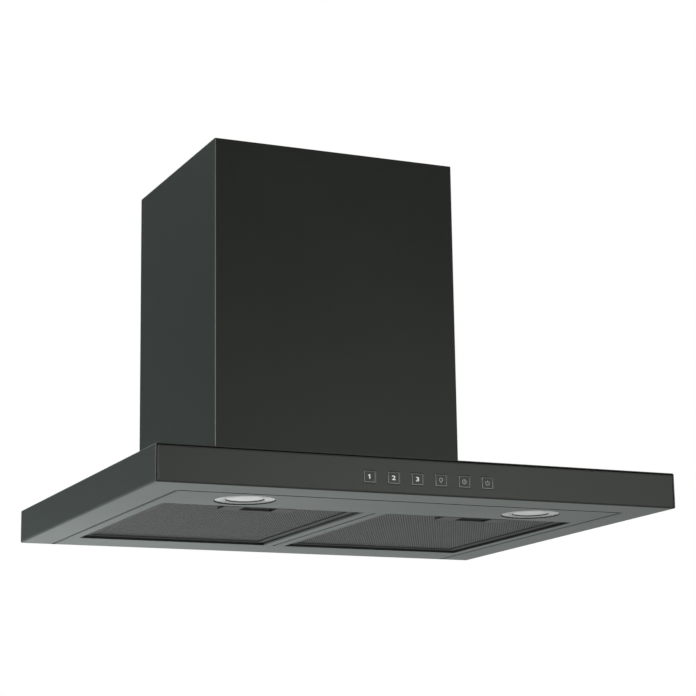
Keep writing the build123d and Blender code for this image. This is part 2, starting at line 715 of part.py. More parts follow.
def damper_flap(side):
    """Half-round flap: the front one lies towards -Y (side -1), the rear one towards +Y."""
    radius = COLLAR_R - COLLAR_WALL - FLAP_GAP
    disc = rod(radius, (0, COLLAR_Y, AXLE_Z - FLAP_T / 2), (0, 0, 1), FLAP_T)
    edge = COLLAR_Y + side * FLAP_EDGE
    far = COLLAR_Y + side * (radius + OVER)
    level = (AXLE_Z - FLAP_T / 2, AXLE_Z + FLAP_T / 2)
    flap = disc & block((-radius, radius), (edge, far), level)
    # The knuckles of the two flaps take turns along the axle.
    spacing = KNUCKLE_W + 2 * FIT
    first = side * spacing / 2
    for step in (-KNUCKLE_STEP, 0, KNUCKLE_STEP):
        centre = first + step * spacing
        span = (centre - KNUCKLE_W / 2, centre + KNUCKLE_W / 2)
        knuckle = rod(KNUCKLE_R, (span[0], COLLAR_Y, AXLE_Z), (1, 0, 0), KNUCKLE_W)
        arm = block(span, (COLLAR_Y, edge + side), level)
        flap += knuckle + arm
    bore = rod(AXLE_R + RUNNING * 2, (-radius, COLLAR_Y, AXLE_Z), (1, 0, 0), 2 * radius)
    return flap - bore


# ================================================================ grease filters
def pocket_room(side, clearance):
    """Space of one latch's cup inside the cassette, larger by clearance on each side."""
    half = POCKET_W / 2 + LATCH_WALL + clearance
    front = FILTER_FRONT + SHEET
    rear = cup_rear() + LATCH_WALL + clearance
    x = side * BAY_MID_X
    return block((x - half, x + half), (front, rear), (FILTER_Z - OVER, cup_top() + clearance))


def pocket_span():
    """Y of the front and the rear of the finger pocket."""
    front = FILTER_FRONT + POCKET_FRONT
    return front, front + POCKET_D


def slider_floor():
    """Z of the underside of the latch slider, just above the catch lip."""
    return LIP_TOP + FIT


def slider_rear():
    """Y of the slider's rear edge at rest."""
    return FILTER_FRONT + TAB_FROM_FRONT + TAB_T + SLIDER_BEHIND_TAB


def cup_rear():
    """Y of the inside of the cup's rear wall, behind the spring."""
    return slider_rear() + SPRING_ROOM


def cup_top():
    """Z of the top of the latch's cup."""
    return FILTER_TOP - SHEET - MESH_T - FIT


def filter_frame(side):
    """Cassette frame: a hollow rim with a bottom and a top lip, rear hooks and a tongue slot."""
    frame = along_z(filter_face(side, 0, FILTER_CORNER), FILTER_Z, FILTER_TOP)
    inner = FILTER_CORNER - SHEET
    frame -= along_z(filter_face(side, SHEET, inner), FILTER_Z + SHEET, FILTER_TOP - SHEET)
    frame -= along_z(filter_face(side, FILTER_BORDER, inner), FILTER_Z - OVER, FILTER_TOP + OVER)
    x = side * BAY_MID_X
    for place in (x - HOOK_SPREAD, x + HOOK_SPREAD):
        hook_y = (FILTER_REAR - SHEET / 2, FILTER_REAR + HOOK_REACH)
        hook_z = (LIP_TOP + FIT, LIP_TOP + FIT + HOOK_T)
        frame += block((place - HOOK_W / 2, place + HOOK_W / 2), hook_y, hook_z)
    half = TONGUE_W / 2 + FIT
    slot_z = (slider_floor() - FIT, slider_floor() + SLIDER_T + FIT)
    slot_y = (FILTER_FRONT - OVER, FILTER_FRONT + SHEET + OVER)
    frame -= block((x - half, x + half), slot_y, slot_z)
    return frame - pocket_room(side, FIT)


def mesh_sheet(side, low, notch):
    """Flat sheet with a grid of diamond gaps, notched round the latch where notch is true."""
    edge = SHEET + FIT
    outline = filter_face(side, edge, 0)
    width = 2 * (FILTER_HALF - FILTER_BORDER)
    depth = FILTER_REAR - FILTER_FRONT - 2 * FILTER_BORDER
    pitch_x, pitch_y = width / MESH_CELLS_X, depth / MESH_CELLS_Y
    middle_y = (FILTER_FRONT + FILTER_REAR) / 2
    half_x = (pitch_x - MESH_WIRE) / 2
    half_y = MESH_STRETCH * (pitch_y - MESH_WIRE) / 2
    corners = [(half_x, 0), (0, half_y), (-half_x, 0), (0, -half_y)]
    clear_x = LATCH_W / 2 + pitch_x / 2
    clear_y = FILTER_FRONT + LATCH_FROM_FRONT + LATCH_D + pitch_y / 2
    diamonds = []
    for row in range(MESH_CELLS_Y):
        shift = pitch_x / 2 if row % 2 else 0
        y = middle_y + (row + 0.5 - MESH_CELLS_Y / 2) * pitch_y
        for column in range(MESH_CELLS_X - (row % 2)):
            x = (column + 0.5 - MESH_CELLS_X / 2) * pitch_x + shift
            if notch and abs(x) < clear_x and y < clear_y:
                continue
            place = Pos(side * BAY_MID_X + x, y)
            diamonds.append(place * make_face(Polyline(*corners, close=True)))
    sheet = along_z(outline - diamonds, low, low + MESH_T)
    return sheet - pocket_room(side, FIT) if notch else sheet


def filter_core(side):
    """Pleated foil between the two mesh sheets, with its folds running from front to rear."""
    low = FILTER_Z + SHEET + MESH_T
    high = FILTER_TOP - SHEET - MESH_T
    half = FILTER_HALF - SHEET - FIT - FOIL_T
    step = 2 * half / PLEATS
    centre = side * BAY_MID_X
    levels = (low + FIT, high - FIT - FOIL_CREST)
    crests = [(centre - half + step * count, levels[count % 2]) for count in range(PLEATS + 1)]
    front = FILTER_FRONT + SHEET + FIT
    core = along_y(folded(crests, FOIL_T, FOIL_T), front, FILTER_REAR - SHEET - FIT)
    return core - pocket_room(side, FIT)


def latch_plate(side):
    """Cover plate under the filter's front edge, with a finger pocket and the slider's cup."""
    x = side * BAY_MID_X
    low = FILTER_Z - LATCH_PROUD
    middle = Pos(x, FILTER_FRONT + LATCH_FROM_FRONT + LATCH_D / 2)
    outline = middle * RectangleRounded(LATCH_W, LATCH_D, LATCH_CORNER)
    inner_w, inner_d = LATCH_W - 2 * LATCH_WALL, LATCH_D - 2 * LATCH_WALL
    hollow = middle * RectangleRounded(inner_w, inner_d, LATCH_CORNER - LATCH_WALL)
    plate = along_z(outline, low, FILTER_Z) - along_z(hollow, low + LATCH_WALL, FILTER_Z + OVER)
    cup_half = POCKET_W / 2 + LATCH_WALL
    cup_front = FILTER_FRONT + SHEET + FIT
    cup_y = (cup_front, cup_rear() + LATCH_WALL)
    cup = block((x - cup_half, x + cup_half), cup_y, (FILTER_Z, cup_top()))
    pocket_x = (x - POCKET_W / 2, x + POCKET_W / 2)
    pocket_front, pocket_rear = pocket_span()
    mouth_y = (pocket_front - LATCH_WALL, pocket_rear + LATCH_WALL)
    cup += block((x - cup_half, x + cup_half), mouth_y, (low, FILTER_Z))
    ceiling = FILTER_Z + POCKET_CEILING
    cup -= block(pocket_x, pocket_span(), (low - OVER, ceiling))
    # The slider's channel lies above the pocket and opens through the cup's front wall.
    room = SLIDER_W / 2 + FIT
    channel_z = (slider_floor() - FIT, cup_top() - LATCH_WALL / 2)
    cup -= block((x - room, x + room), (cup_front + LATCH_WALL, cup_rear()), channel_z)
    tongue = TONGUE_W / 2 + FIT
    tongue_y = (cup_front - OVER, cup_rear() - SPRING_ROOM)
    cup -= block((x - tongue, x + tongue), tongue_y, channel_z)
    tab_y = FILTER_FRONT + TAB_FROM_FRONT
    slot_y = (tab_y - FIT, tab_y + TAB_T + LATCH_TRAVEL + FIT)
    slot = TAB_W / 2 + FIT
    cup -= block((x - slot, x + slot), slot_y, (ceiling - OVER, channel_z[1]))
    plate -= block(pocket_x, pocket_span(), (low - OVER, FILTER_Z))
    return plate + cup


def latch_slider(side):
    """Sliding catch with its tongue at the front and a finger tab in the pocket."""
    x = side * BAY_MID_X
    floor = slider_floor()
    level = (floor, floor + SLIDER_T)
    tongue_front = FILTER_FRONT - TONGUE_PROUD
    body_front = FILTER_FRONT + TAB_FROM_FRONT - SLIDER_BEFORE_TAB
    rear = slider_rear()
    slider = block((x - TONGUE_W / 2, x + TONGUE_W / 2), (tongue_front, rear), level)
    slider += block((x - SLIDER_W / 2, x + SLIDER_W / 2), (body_front, rear), level)
    tab_y = FILTER_FRONT + TAB_FROM_FRONT
    tab_foot = FILTER_Z - LATCH_PROUD / 2
    slider += block((x - TAB_W / 2, x + TAB_W / 2), (tab_y, tab_y + TAB_T), (tab_foot, level[1]))
    return slider


def latch_spring(side):
    """Wave spring of flat strip between the slider and the cup's rear wall."""
    low, high = slider_rear() + FIT, cup_rear() - FIT
    step = (high - low - 2 * SPRING_T) / SPRING_WAVES
    width = SLIDER_W / 2 - SPRING_SIDE_GAP
    x = side * BAY_MID_X
    crests = [(x - width, low)]
    for count in range(SPRING_WAVES):
        y = low + SPRING_T + step * (count + 0.5)
        crests.append((x + width * (1 if count % 2 == 0 else -1), y))
    crests.append((x + width * (1 if SPRING_WAVES % 2 == 0 else -1), high))
    floor = slider_floor() - FIT / 2
    top = min(floor + SPRING_W, cup_top() - LATCH_WALL / 2 - FIT / 2)
    return along_z(folded(crests, SPRING_T, SPRING_T), floor, top)


# ================================================================ lamps
def at_lamp(side, radius, low, high):
    """An upright round bar at one lamp's centre."""
    return rod(radius, (side * LAMP_X, LAMP_Y, low), (0, 0, 1), high - low)


def lamp_bezel(side):
    """Trim ring in the pan's seat, with the sleeve that passes through the pan's hole."""
    low = LAMP_SEAT - BEZEL_T
    ring = at_lamp(side, BEZEL_R, low, LAMP_SEAT)
    ring = chamfer(ring.edges().group_by(Axis.Z)[0], BEZEL_CHAMFER)
    ring += at_lamp(side, SLEEVE_R, LAMP_SEAT, LAMP_SEAT + SLEEVE_H)
    ring -= at_lamp(side, SLEEVE_R - LAMP_WALL, LAMP_SEAT, LAMP_SEAT + SLEEVE_H)
    return ring - at_lamp(side, LENS_R + FIT, low - OVER, LAMP_SEAT + OVER)


def lens_foot():
    """Z of a lens's face, halfway up the bezel."""
    return LAMP_SEAT - BEZEL_T / 2


def lamp_lens(side):
    """Frosted disc with a thin rim behind the bezel."""
    low = lens_foot()
    lens = at_lamp(side, LENS_R, low, low + LENS_T)
    return lens + at_lamp(side, LENS_R + LENS_RIM, LAMP_SEAT + FIT, low + LENS_T)


def lamp_foot():
    """Z of the lower edge of a lamp's body, just above the lens's rim."""
    return lens_foot() + LENS_T + FIT


def lamp_body(side):
    """Cup that carries the light source and closes the sleeve."""
    radius = SLEEVE_R - LAMP_WALL - FIT
    low = lamp_foot()
    cup = at_lamp(side, radius, low, low + LAMP_BODY_H)
    return cup - at_lamp(side, radius - LAMP_WALL, low, low + LAMP_BODY_H - LAMP_WALL)


def led_boards():
    """Round boards under the tops of the two lamp bodies."""
    radius = SLEEVE_R - 2 * LAMP_WALL - 2 * FIT
    top = lamp_foot() + LAMP_BODY_H - LAMP_WALL
    return group([at_lamp(side, radius, top - LED_BOARD_T, top) for side in SIDES.values()])


def lamp_clips():
    """Two leaf springs beside each lamp's sleeve, which press on the pan."""
    inner = SLEEVE_R + FIT
    section = [
        (inner, LAMP_SEAT + SLEEVE_H),
        (inner, LAMP_SEAT + SLEEVE_H / 2),
        (inner + CLIP_REACH, LAMP_SEAT + SHEET + FIT),
        (inner + CLIP_REACH + CLIP_TOE, LAMP_SEAT + SHEET + FIT + CLIP_TOE_RISE),
    ]
    clip = along_y(folded(section, CLIP_T, CLIP_T), -CLIP_W / 2, CLIP_W / 2)
    pair = [clip, mirror(clip, Plane.YZ)]
    return group([Pos(side * LAMP_X, LAMP_Y, 0) * piece for side in SIDES.values() for piece in pair])


# ================================================================ keys
def key_places():
    """X of each key, from left to right."""
    return [(count - (KEY_COUNT - 1) / 2) * KEY_PITCH for count in range(KEY_COUNT)]


def centred(x, width, height, front, depth):
    """A block centred on a key's axis."""
    z = (KEY_Z - height / 2, KEY_Z + height / 2)
    return block((x - width / 2, x + width / 2), (front, front + depth), z)


def flange_front():
    """Y of the front of a key's flange."""
    return FRONT + SHEET + FIT


def push_key(x):
    """Square key: its face, the flange that keeps it in, and its stem."""
    key = centred(x, KEY_W, KEY_H, FRONT, SHEET + FIT + KEY_FLANGE_T)
    wide, tall = KEY_W + 2 * KEY_FLANGE, KEY_H + 2 * KEY_FLANGE
    key += centred(x, wide, tall, flange_front(), KEY_FLANGE_T)
    return key + centred(x, KEY_STEM, KEY_STEM, flange_front() + KEY_FLANGE_T, KEY_STEM_L)


def key_frame():
    """Moulded frame behind the fascia that guides the six keys."""
    z = (KEY_Z - FRAME_BELOW, KEY_Z + FRAME_BELOW)
    front = FRONT + SHEET
    frame = block((-FRAME_HALF_W, FRAME_HALF_W), (front, front + FRAME_DEPTH), z)
    inner_x = FRAME_HALF_W - FRAME_WALL
    inner_z = (z[0] + FRAME_WALL, z[1] - FRAME_WALL)
    plate_front = flange_front() + KEY_FLANGE_T + KEY_TRAVEL + FIT
    frame -= block((-inner_x, inner_x), (front - OVER, plate_front), inner_z)
    plate_rear = plate_front + FRAME_PLATE_T
    frame -= block((-inner_x, inner_x), (plate_rear, front + FRAME_DEPTH + OVER), inner_z)
    hole = KEY_STEM + 2 * KEY_GAP
    for x in key_places():
        frame -= centred(x, hole, hole, plate_front - OVER, FRAME_PLATE_T + 2 * OVER)
    return frame


def board_front():
    """Y of the front face of the control board."""
    return FRONT + SHEET + FRAME_DEPTH


def control_board():
    """Circuit board on the back of the key frame."""
    z = (KEY_Z - FRAME_BELOW, KEY_Z + FRAME_BELOW)
    front = board_front()
    return block((-FRAME_HALF_W, FRAME_HALF_W), (front, front + BOARD_T), z)


def key_switches():
    """Six push switches on the control board, one behind each key."""
    stem_end = flange_front() + KEY_FLANGE_T + KEY_STEM_L
    plunger = stem_end + PLUNGER_GAP
    front = board_front()
    pieces = []
    for x in key_places():
        body = centred(x, SWITCH_W, SWITCH_W, front - SWITCH_BODY, SWITCH_BODY)
        pieces.append(body + rod(PLUNGER_R, (x, plunger, KEY_Z), (0, 1, 0), front - plunger))
    return group(pieces)


# ================================================================ wiring
def power_span():
    """X and Y of the power module under the canopy top."""
    rear = -BAY_FRONT - SHEET - POWER_REAR_GAP
    return (-POWER_W / 2, POWER_W / 2), (rear - POWER_D, rear)


def power_module():
    """Closed box with the mains terminals and the lamp supply."""
    x, y = power_span()
    return block(x, y, (UNDER_TOP - POWER_H, UNDER_TOP))


def cable_gland():
    """Gland in the blower box's top, where the supply cable leaves."""
    foot, top = BOX_TOP - SHEET - GLAND_IN, BOX_TOP + GLAND_OUT
    body = rod(GLAND_R, (GLAND_X, GLAND_Y, BOX_TOP), (0, 0, 1), GLAND_OUT)
    body += rod(GLAND_NECK, (GLAND_X, GLAND_Y, foot), (0, 0, 1), top - foot)
    return body - upright_hole(GLAND_BORE, GLAND_X, GLAND_Y, foot, top - foot)


def wiring_loom():
    """Four leads: to both lamps, to the control board and to the motor."""
    (left, right), (front, rear) = power_span()
    level = UNDER_TOP - LEAD_R - FIT
    middle = (front + rear) / 2
    lamp_top = lamp_foot() + LAMP_BODY_H
    leads = []
    for side in SIDES.values():
        leads.append(lead([
            (side * right, middle, level),
            (side * (right + LEAD_RUN), middle, level),
            (side * LAMP_X, LAMP_Y, level),
            (side * LAMP_X, LAMP_Y, lamp_top),
        ]))
    board_rear = board_front() + BOARD_T
    leads.append(lead([
        (BOARD_LEAD_X, front, level),
        (BOARD_LEAD_X, front - LEAD_RUN, level),
        (BOARD_LEAD_X, board_rear + LEAD_RUN, KEY_Z),
        (BOARD_LEAD_X, board_rear, KEY_Z),
    ]))
    motor_y, motor_z = FAN_Y + MOTOR_LEAD_Y, FAN_Z + MOTOR_LEAD_Z
    beside, before, above = MOTOR_LEAD_BEND
    leads.append(lead([
        (0, rear, level),
        (0, -BOX_D - 2 * LEAD_RUN, level),
        (BOX_HALF / 2, -BOX_D + 3 * AIR_EDGE, level),
        (SCROLL_HALF + beside, FAN_Y + before, CANOPY_H + above),
        (SCROLL_HALF + 2 * LEAD_RUN, motor_y, motor_z),
        (SCROLL_HALF + MOUNT_T, motor_y, motor_z),
    ]))
    return group(leads)


# ================================================================ all nodes
def nodes():
    """Every piece, by the name of its node."""
    lower_foot = CANOPY_H
    upper_inset = SHEET + CHIMNEY_RUN_GAP
    upper_foot = CANOPY_H + UPPER_LIFT
    upper_top = CHIMNEY_TOP - UPPER_DROP
    parts = {
        "canopy_body": canopy_body(),
        "front_fascia": front_fascia(),
        "bottom_pan": bottom_pan(),
        "divider_rails": divider_rails(),
        "chimney_lower": chimney_cover(0, lower_foot, CHIMNEY_TOP),
        "chimney_upper": chimney_cover(upper_inset, upper_foot, upper_top),
        "flue_bracket": flue_bracket(),
        "blower_box": blower_box(),
        "housing_screws": housing_screws(),
        "scroll_left": scroll_half(-1),
        "scroll_right": scroll_half(1),
        "fan_wheel": fan_wheel(),
        "wheel_nut": wheel_nut(),
        "motor_shaft": motor_shaft(),
        "motor_rotor": motor_rotor(),
        "motor_stator": motor_stator(),
        "motor_bearings": motor_bearings(),
        "motor_housing": motor_housing(),
        "motor_mount": motor_mount(),
        "motor_screws": motor_screws(),
        "capacitor": capacitor(),
        "capacitor_clip": capacitor_clip(),
        "outlet_collar": outlet_collar(),
        "damper_axle": damper_axle(),
        "damper_flap_front": damper_flap(-1),
        "damper_flap_rear": damper_flap(1),
        "led_boards": led_boards(),
        "lamp_clips": lamp_clips(),
        "key_frame": key_frame(),
        "control_board": control_board(),
        "key_switches": key_switches(),
        "power_module": power_module(),
        "cable_gland": cable_gland(),
        "wiring_loom": wiring_loom(),
    }
    for name, side in SIDES.items():
        parts[f"filter_frame_{name}"] = filter_frame(side)
        parts[f"filter_outer_mesh_{name}"] = mesh_sheet(side, FILTER_Z + SHEET, True)
        parts[f"filter_core_{name}"] = filter_core(side)
        parts[f"filter_inner_mesh_{name}"] = mesh_sheet(side, FILTER_TOP - SHEET - MESH_T, False)
        parts[f"latch_plate_{name}"] = latch_plate(side)
        parts[f"latch_slider_{name}"] = latch_slider(side)
        parts[f"latch_spring_{name}"] = latch_spring(side)
        parts[f"lamp_bezel_{name}"] = lamp_bezel(side)
        parts[f"lamp_lens_{name}"] = lamp_lens(side)
        parts[f"lamp_body_{name}"] = lamp_body(side)
    for count, x in enumerate(key_places(), 1):
        parts[f"key_{count}"] = push_key(x)
    return parts


os.makedirs("parts", exist_ok=True)
for name, shape in nodes().items():
    export_step(shape, f"parts/{name}.step")
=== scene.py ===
import json
from math import atan2, cos, degrees, pi, sin

import bpy
from mathutils import Matrix, Vector

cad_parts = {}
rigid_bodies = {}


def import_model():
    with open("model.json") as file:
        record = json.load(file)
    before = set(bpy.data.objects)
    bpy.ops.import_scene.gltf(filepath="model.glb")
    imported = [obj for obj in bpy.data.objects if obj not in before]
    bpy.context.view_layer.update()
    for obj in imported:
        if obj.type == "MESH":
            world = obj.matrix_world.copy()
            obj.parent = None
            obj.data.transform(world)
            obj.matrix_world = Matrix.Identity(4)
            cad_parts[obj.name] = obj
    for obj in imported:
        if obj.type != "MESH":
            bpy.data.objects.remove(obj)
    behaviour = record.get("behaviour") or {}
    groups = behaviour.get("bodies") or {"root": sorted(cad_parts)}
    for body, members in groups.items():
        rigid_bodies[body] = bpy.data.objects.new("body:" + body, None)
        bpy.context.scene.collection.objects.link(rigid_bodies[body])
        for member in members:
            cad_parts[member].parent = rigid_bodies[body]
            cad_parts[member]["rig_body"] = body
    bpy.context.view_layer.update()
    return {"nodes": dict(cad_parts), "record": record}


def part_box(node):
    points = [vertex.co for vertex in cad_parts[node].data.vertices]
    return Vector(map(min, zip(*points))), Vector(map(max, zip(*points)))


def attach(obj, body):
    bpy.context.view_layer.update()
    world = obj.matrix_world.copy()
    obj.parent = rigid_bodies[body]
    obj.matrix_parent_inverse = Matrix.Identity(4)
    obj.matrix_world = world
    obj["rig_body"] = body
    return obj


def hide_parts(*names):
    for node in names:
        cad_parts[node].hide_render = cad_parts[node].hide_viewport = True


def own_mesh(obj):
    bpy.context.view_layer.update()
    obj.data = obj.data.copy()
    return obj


bl_info = {
    "name": "Chimney range hood",
    "version": (1, 0, 0),
    "blender": (4, 5, 0),
    "location": "View3D > Sidebar > Range hood",
    "description": "Finishes, keys, lamps and filter sheets of a chimney range hood",
    "category": "Object",
}

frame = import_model()
SIDES = ("left", "right")
KEYS = range(1, 7)

# Metres: points closer than MERGE become one, and places within NEAR of each other are the same.
MERGE = 0.000002
NEAR = 1e-6
# A face is square on to an axis where its normal's part along it is over SQUARE_ON, and steep where
# that part is under STEEP.
SQUARE_ON = 0.99
STEEP = 0.5
# Edges that turn by less than this, in radians, are shaded as smooth.
SMOOTH_ANGLE = 35.0 * pi / 180


# ---------------------------------------------------------------- sizes and colours
def length(name, description, default):
    """A size that the user can change, in metres."""
    return bpy.props.FloatProperty(
        name=name, description=description, default=default, min=0.0, unit="LENGTH", precision=5
    )


def colour(name, description, default):
    """A linear colour that the user can change."""
    return bpy.props.FloatVectorProperty(
        name=name, description=description, default=default, size=3, min=0.0, max=1.0,
        subtype="COLOR",
    )


class HoodSizes(bpy.types.PropertyGroup):
    """Sizes of the pieces that are modelled here."""

    key_width: length("Key width", "Face of a push key, side to side", 0.013)
    key_height: length("Key height", "Face of a push key, up and down", 0.0124)
    key_skirt: length("Key skirt", "Depth of a key in front of its flange", 0.0013)
    key_flange: length("Key flange", "Thickness of the flange behind the fascia", 0.001)
    key_stem: length("Key stem", "Width of the square stem", 0.008)
    key_edge: length("Key edge", "Rounding of the key's front edges", 0.0003)
    key_rim: length("Key rim", "Width of the bright rim round the key's face", 0.0005)
    key_dish: length("Key dish", "Depth of the face behind its rim", 0.00018)
    mark_height: length("Mark height", "Height of the numbers on the keys", 0.0046)
    mark_width: length("Mark width", "Width of the widest number on the keys", 0.0051)
    mark_line: length("Mark line", "Line width of the symbols on the keys", 0.0006)
    bulb_radius: length("Bulb radius", "Radius of the lamp symbol's bulb", 0.0018)
    clock_radius: length("Clock radius", "Radius of the clock symbol", 0.0022)
    power_radius: length("Power radius", "Radius of the power symbol's ring", 0.0021)
    mark_depth: length("Mark depth", "Thickness of the printed marks", 0.00006)
    ring_radius: length("Ring radius", "Outside radius of a lamp's trim ring", 0.032)
    ring_height: length("Ring height", "Thickness of a lamp's trim ring", 0.001)
    ring_edge: length("Ring edge", "Rounding of a trim ring's outer edge", 0.0005)
    # Painted highlight: a band of brighter metal inside the ring's edge stands in for the bright
    # line of light along that edge.
    ring_polish: length("Ring polish", "Width of the polished band inside that edge", 0.0011)
    lens_depth: length("Lens depth", "A lens's face behind the face of its ring", 0.001)
    lens_dome: length("Lens dome", "Bulge of a lens's face", 0.0003)
    lens_radius: length("Lens radius", "Visible radius of a lamp's lens", 0.020)
    lens_gap: length("Lens gap", "Dark gap between a lens and its ring", 0.0004)
    lens_flare: length("Lens flare", "How much that gap widens at the ring's face", 0.0005)
    lens_flange: length("Lens flange", "Edge of a lens hidden behind its ring", 0.0026)
    lens_step: length("Lens step", "Height and taper of the step of that edge", 0.0003)
    sleeve_radius: length("Sleeve radius", "Outside radius of a lamp's sleeve", 0.0275)
    sleeve_wall: length("Sleeve wall", "Wall of a lamp's sleeve", 0.0017)
    mesh_across: length("Mesh across", "Width of a diamond of the filter sheet", 0.003)
    mesh_along: length("Mesh along", "Length of a diamond of the filter sheet", 0.006)
    mesh_strand: length("Mesh strand", "Width of the metal between two diamonds", 0.0013)
    mesh_thickness: length("Mesh thickness", "Thickness of the filter sheet", 0.0008)
    mesh_margin: length("Mesh margin", "From a filter's edge to its sheet's edge", 0.0085)
    cup_half: length("Cup half", "Half the width of a latch's cup", 0.020)
    cup_wall: length("Cup wall", "From a latch's spring to the outside of its cup", 0.0014)
    screw_head: length("Screw head", "Height of a screw's head", 0.0024)
    screw_thread: length("Screw thread", "Radius of a screw's thread", 0.0019)
    screw_recess: length("Screw recess", "Length of a screw's cross recess", 0.0042)
    floor_drop: length("Floor drop", "Height of the hood above the floor", 0.65)


class HoodColours(bpy.types.PropertyGroup):
    """Colours of the finishes."""

    steel: colour("Canopy steel", "Dark satin steel of the canopy", (0.052, 0.055, 0.051))
    cover_steel: colour("Cover steel", "Dark satin steel of the covers", (0.036, 0.0385, 0.035))
    filter_metal: colour("Filter", "Dark anodised filter cassette", (0.125, 0.133, 0.131))
    foil: colour("Foil", "Foil core of a filter", (0.26, 0.27, 0.27))
    galvanised: colour("Galvanised", "Galvanised sheet", (0.46, 0.48, 0.49))
    bright: colour("Bright steel", "Ground steel", (0.58, 0.58, 0.58))
    chrome: colour("Trim", "Satin trim ring of a lamp", (0.43, 0.44, 0.44))
    # Painted highlight: brighter metal for the ring's outer band and edge, in place of the bright
    # line of light along that edge.
    polish: colour("Trim edge", "Polished edge of a trim ring", (0.66, 0.67, 0.67))
    # The shadow colour is painted shade: near black on the well round each lens, where the gap lies
    # in shadow.
    shadow: colour("Shadow gap", "Blackened well round a lens", (0.012, 0.012, 0.012))
    lens: colour("Lens", "Frosted lens of a lamp", (0.5, 0.52, 0.52))
    key: colour("Key", "Face of a push key", (0.047, 0.05, 0.046))
    rim: colour("Key rim", "Bright rim round a key's face", (0.17, 0.175, 0.17))
    number: colour("Number", "White print of the numbers", (0.85, 0.86, 0.86))
    symbol: colour("Symbol", "Grey print of the symbols", (0.36, 0.38, 0.37))
    housing: colour("Housing", "Moulded fan housing", (0.15, 0.15, 0.155))
    damper: colour("Damper", "Moulded damper and collar", (0.045, 0.045, 0.047))
    motor: colour("Motor", "Paint of the motor", (0.1, 0.105, 0.11))
    copper: colour("Copper", "Enamelled copper winding", (0.5, 0.25, 0.11))
    board: colour("Board", "Solder mask of the boards", (0.02, 0.13, 0.05))
    pale: colour("Pale plastic", "Can of the capacitor", (0.72, 0.72, 0.69))
    rubber: colour("Rubber", "Insulation of the leads", (0.03, 0.03, 0.03))
    floor: colour("Floor", "Plain pale floor", (0.86, 0.86, 0.86))


def sizes():
    """The user's sizes."""
    return bpy.context.scene.hood_sizes


def colours():
    """The user's colours."""
    return bpy.context.scene.hood_colours


# ---------------------------------------------------------------- shader maths
class Value:
    """A shader socket that takes part in Python arithmetic."""

    def __init__(self, web, socket):
        self.web = web
        self.socket = socket

    def maths(self, operation, first, second):
        """A Math node that joins two values."""
        return self.web.node("ShaderNodeMath", {"operation": operation}, {0: first, 1: second})

    def __add__(self, other):
        return self.maths("ADD", self, other)

    def __sub__(self, other):
        return self.maths("SUBTRACT", self, other)

    def __rsub__(self, other):
        return self.maths("SUBTRACT", other, self)

    def __mul__(self, other):
        return self.maths("MULTIPLY", self, other)

    def __gt__(self, other):
        return self.maths("GREATER_THAN", self, other)

    def __abs__(self):
        return self.maths("ABSOLUTE", self, 0.0)

    __radd__ = __add__
    __rmul__ = __mul__


def rgba(base, factor):
    """A colour with its alpha, made lighter or darker by a factor."""
    return (base[0] * factor, base[1] * factor, base[2] * factor, 1.0)


class Web:
    """A tree of shader nodes."""

    def __init__(self, tree):
        self.tree = tree

    def node(self, kind, settings=None, inputs=None, output=0):
        """Adds a node: its settings first, then the values or links of its sockets."""
        made = self.tree.nodes.new(kind)
        for name, setting in (settings or {}).items():
            setattr(made, name, setting)
        for name, value in (inputs or {}).items():
            self.join(made.inputs[name], value)
        return Value(self, made.outputs[output])

    def join(self, socket, value):
        """Links a value to a socket, or sets the socket to a number or colour."""
        if isinstance(value, Value):
            self.tree.links.new(value.socket, socket)
        else:
            socket.default_value = value

    def place(self, scale):
        """The object's own coordinates, in metres, scaled evenly or along each axis."""
        here = self.node("ShaderNodeTexCoord", output="Object")
        scales = (scale,) * 3 if isinstance(scale, float) else scale
        return self.node("ShaderNodeMapping", inputs={"Vector": here, "Scale": scales})

    def noise(self, scale, detail=2.0, roughness=0.5):
        """Noise from 0 to 1, whose grain is finer where the scale is larger."""
        sockets = {"Vector": self.place(scale), "Scale": 1.0}
        sockets.update({"Detail": detail, "Roughness": roughness})
        return self.node("ShaderNodeTexNoise", inputs=sockets)

    def cells(self, scale, output="Color"):
        """Cells of a Voronoi pattern."""
        sockets = {"Vector": self.place(scale), "Scale": 1.0}
        return self.node("ShaderNodeTexVoronoi", inputs=sockets, output=output)

    def facing(self, axis):
        """How far the surface faces along one of the object's axes, from -1 to 1."""
        normal = self.node("ShaderNodeTexCoord", output="Normal")
        return self.node("ShaderNodeSeparateXYZ", inputs={0: normal}, output=axis)

    def mix(self, share, first, second):
        """A colour between two colours."""
        settings = {"data_type": "RGBA", "clamp_factor": True}
        return self.node("ShaderNodeMix", settings, {0: share, 6: first, 7: second}, output=2)

    def shade(self, share, base, dark, light):
        """A base colour, from dark to light times as bright as it is."""
        return self.mix(share, rgba(base, dark), rgba(base, light))

    def bump(self, height, distance, strength, edge=0.0):
        """A normal bent by a height map, whose full height and rounded edges are in metres."""
        sockets = {"Strength": strength, "Distance": distance, "Height": height}
        if edge:
            sockets["Normal"] = self.node("ShaderNodeBevel", {"samples": 6}, {"Radius": edge})
        return self.node("ShaderNodeBump", inputs=sockets)


class Finish(Web):
    """A material with one Principled shader."""

    def __init__(self, name, **sockets):
        self.material = bpy.data.materials.new(name)
        self.material.use_nodes = True
        super().__init__(self.material.node_tree)
        self.shader = self.tree.nodes["Principled BSDF"]
        self.set(**sockets)

    def set(self, **sockets):
        """Sets or links sockets of the shader, such as base_color or roughness."""
        for name, value in sockets.items():
            title = name.replace("_", " ").title().replace("Ior", "IOR")
            self.join(self.shader.inputs[title], value)


# ---------------------------------------------------------------- finishes
# Scales of a brushed grain, along the strokes of the brush and across them.
ALONG = 7.0
ACROSS = 1100.0
# Sheet faces sideways where more of its normal than this points to a side.
SIDEWAYS = 0.7


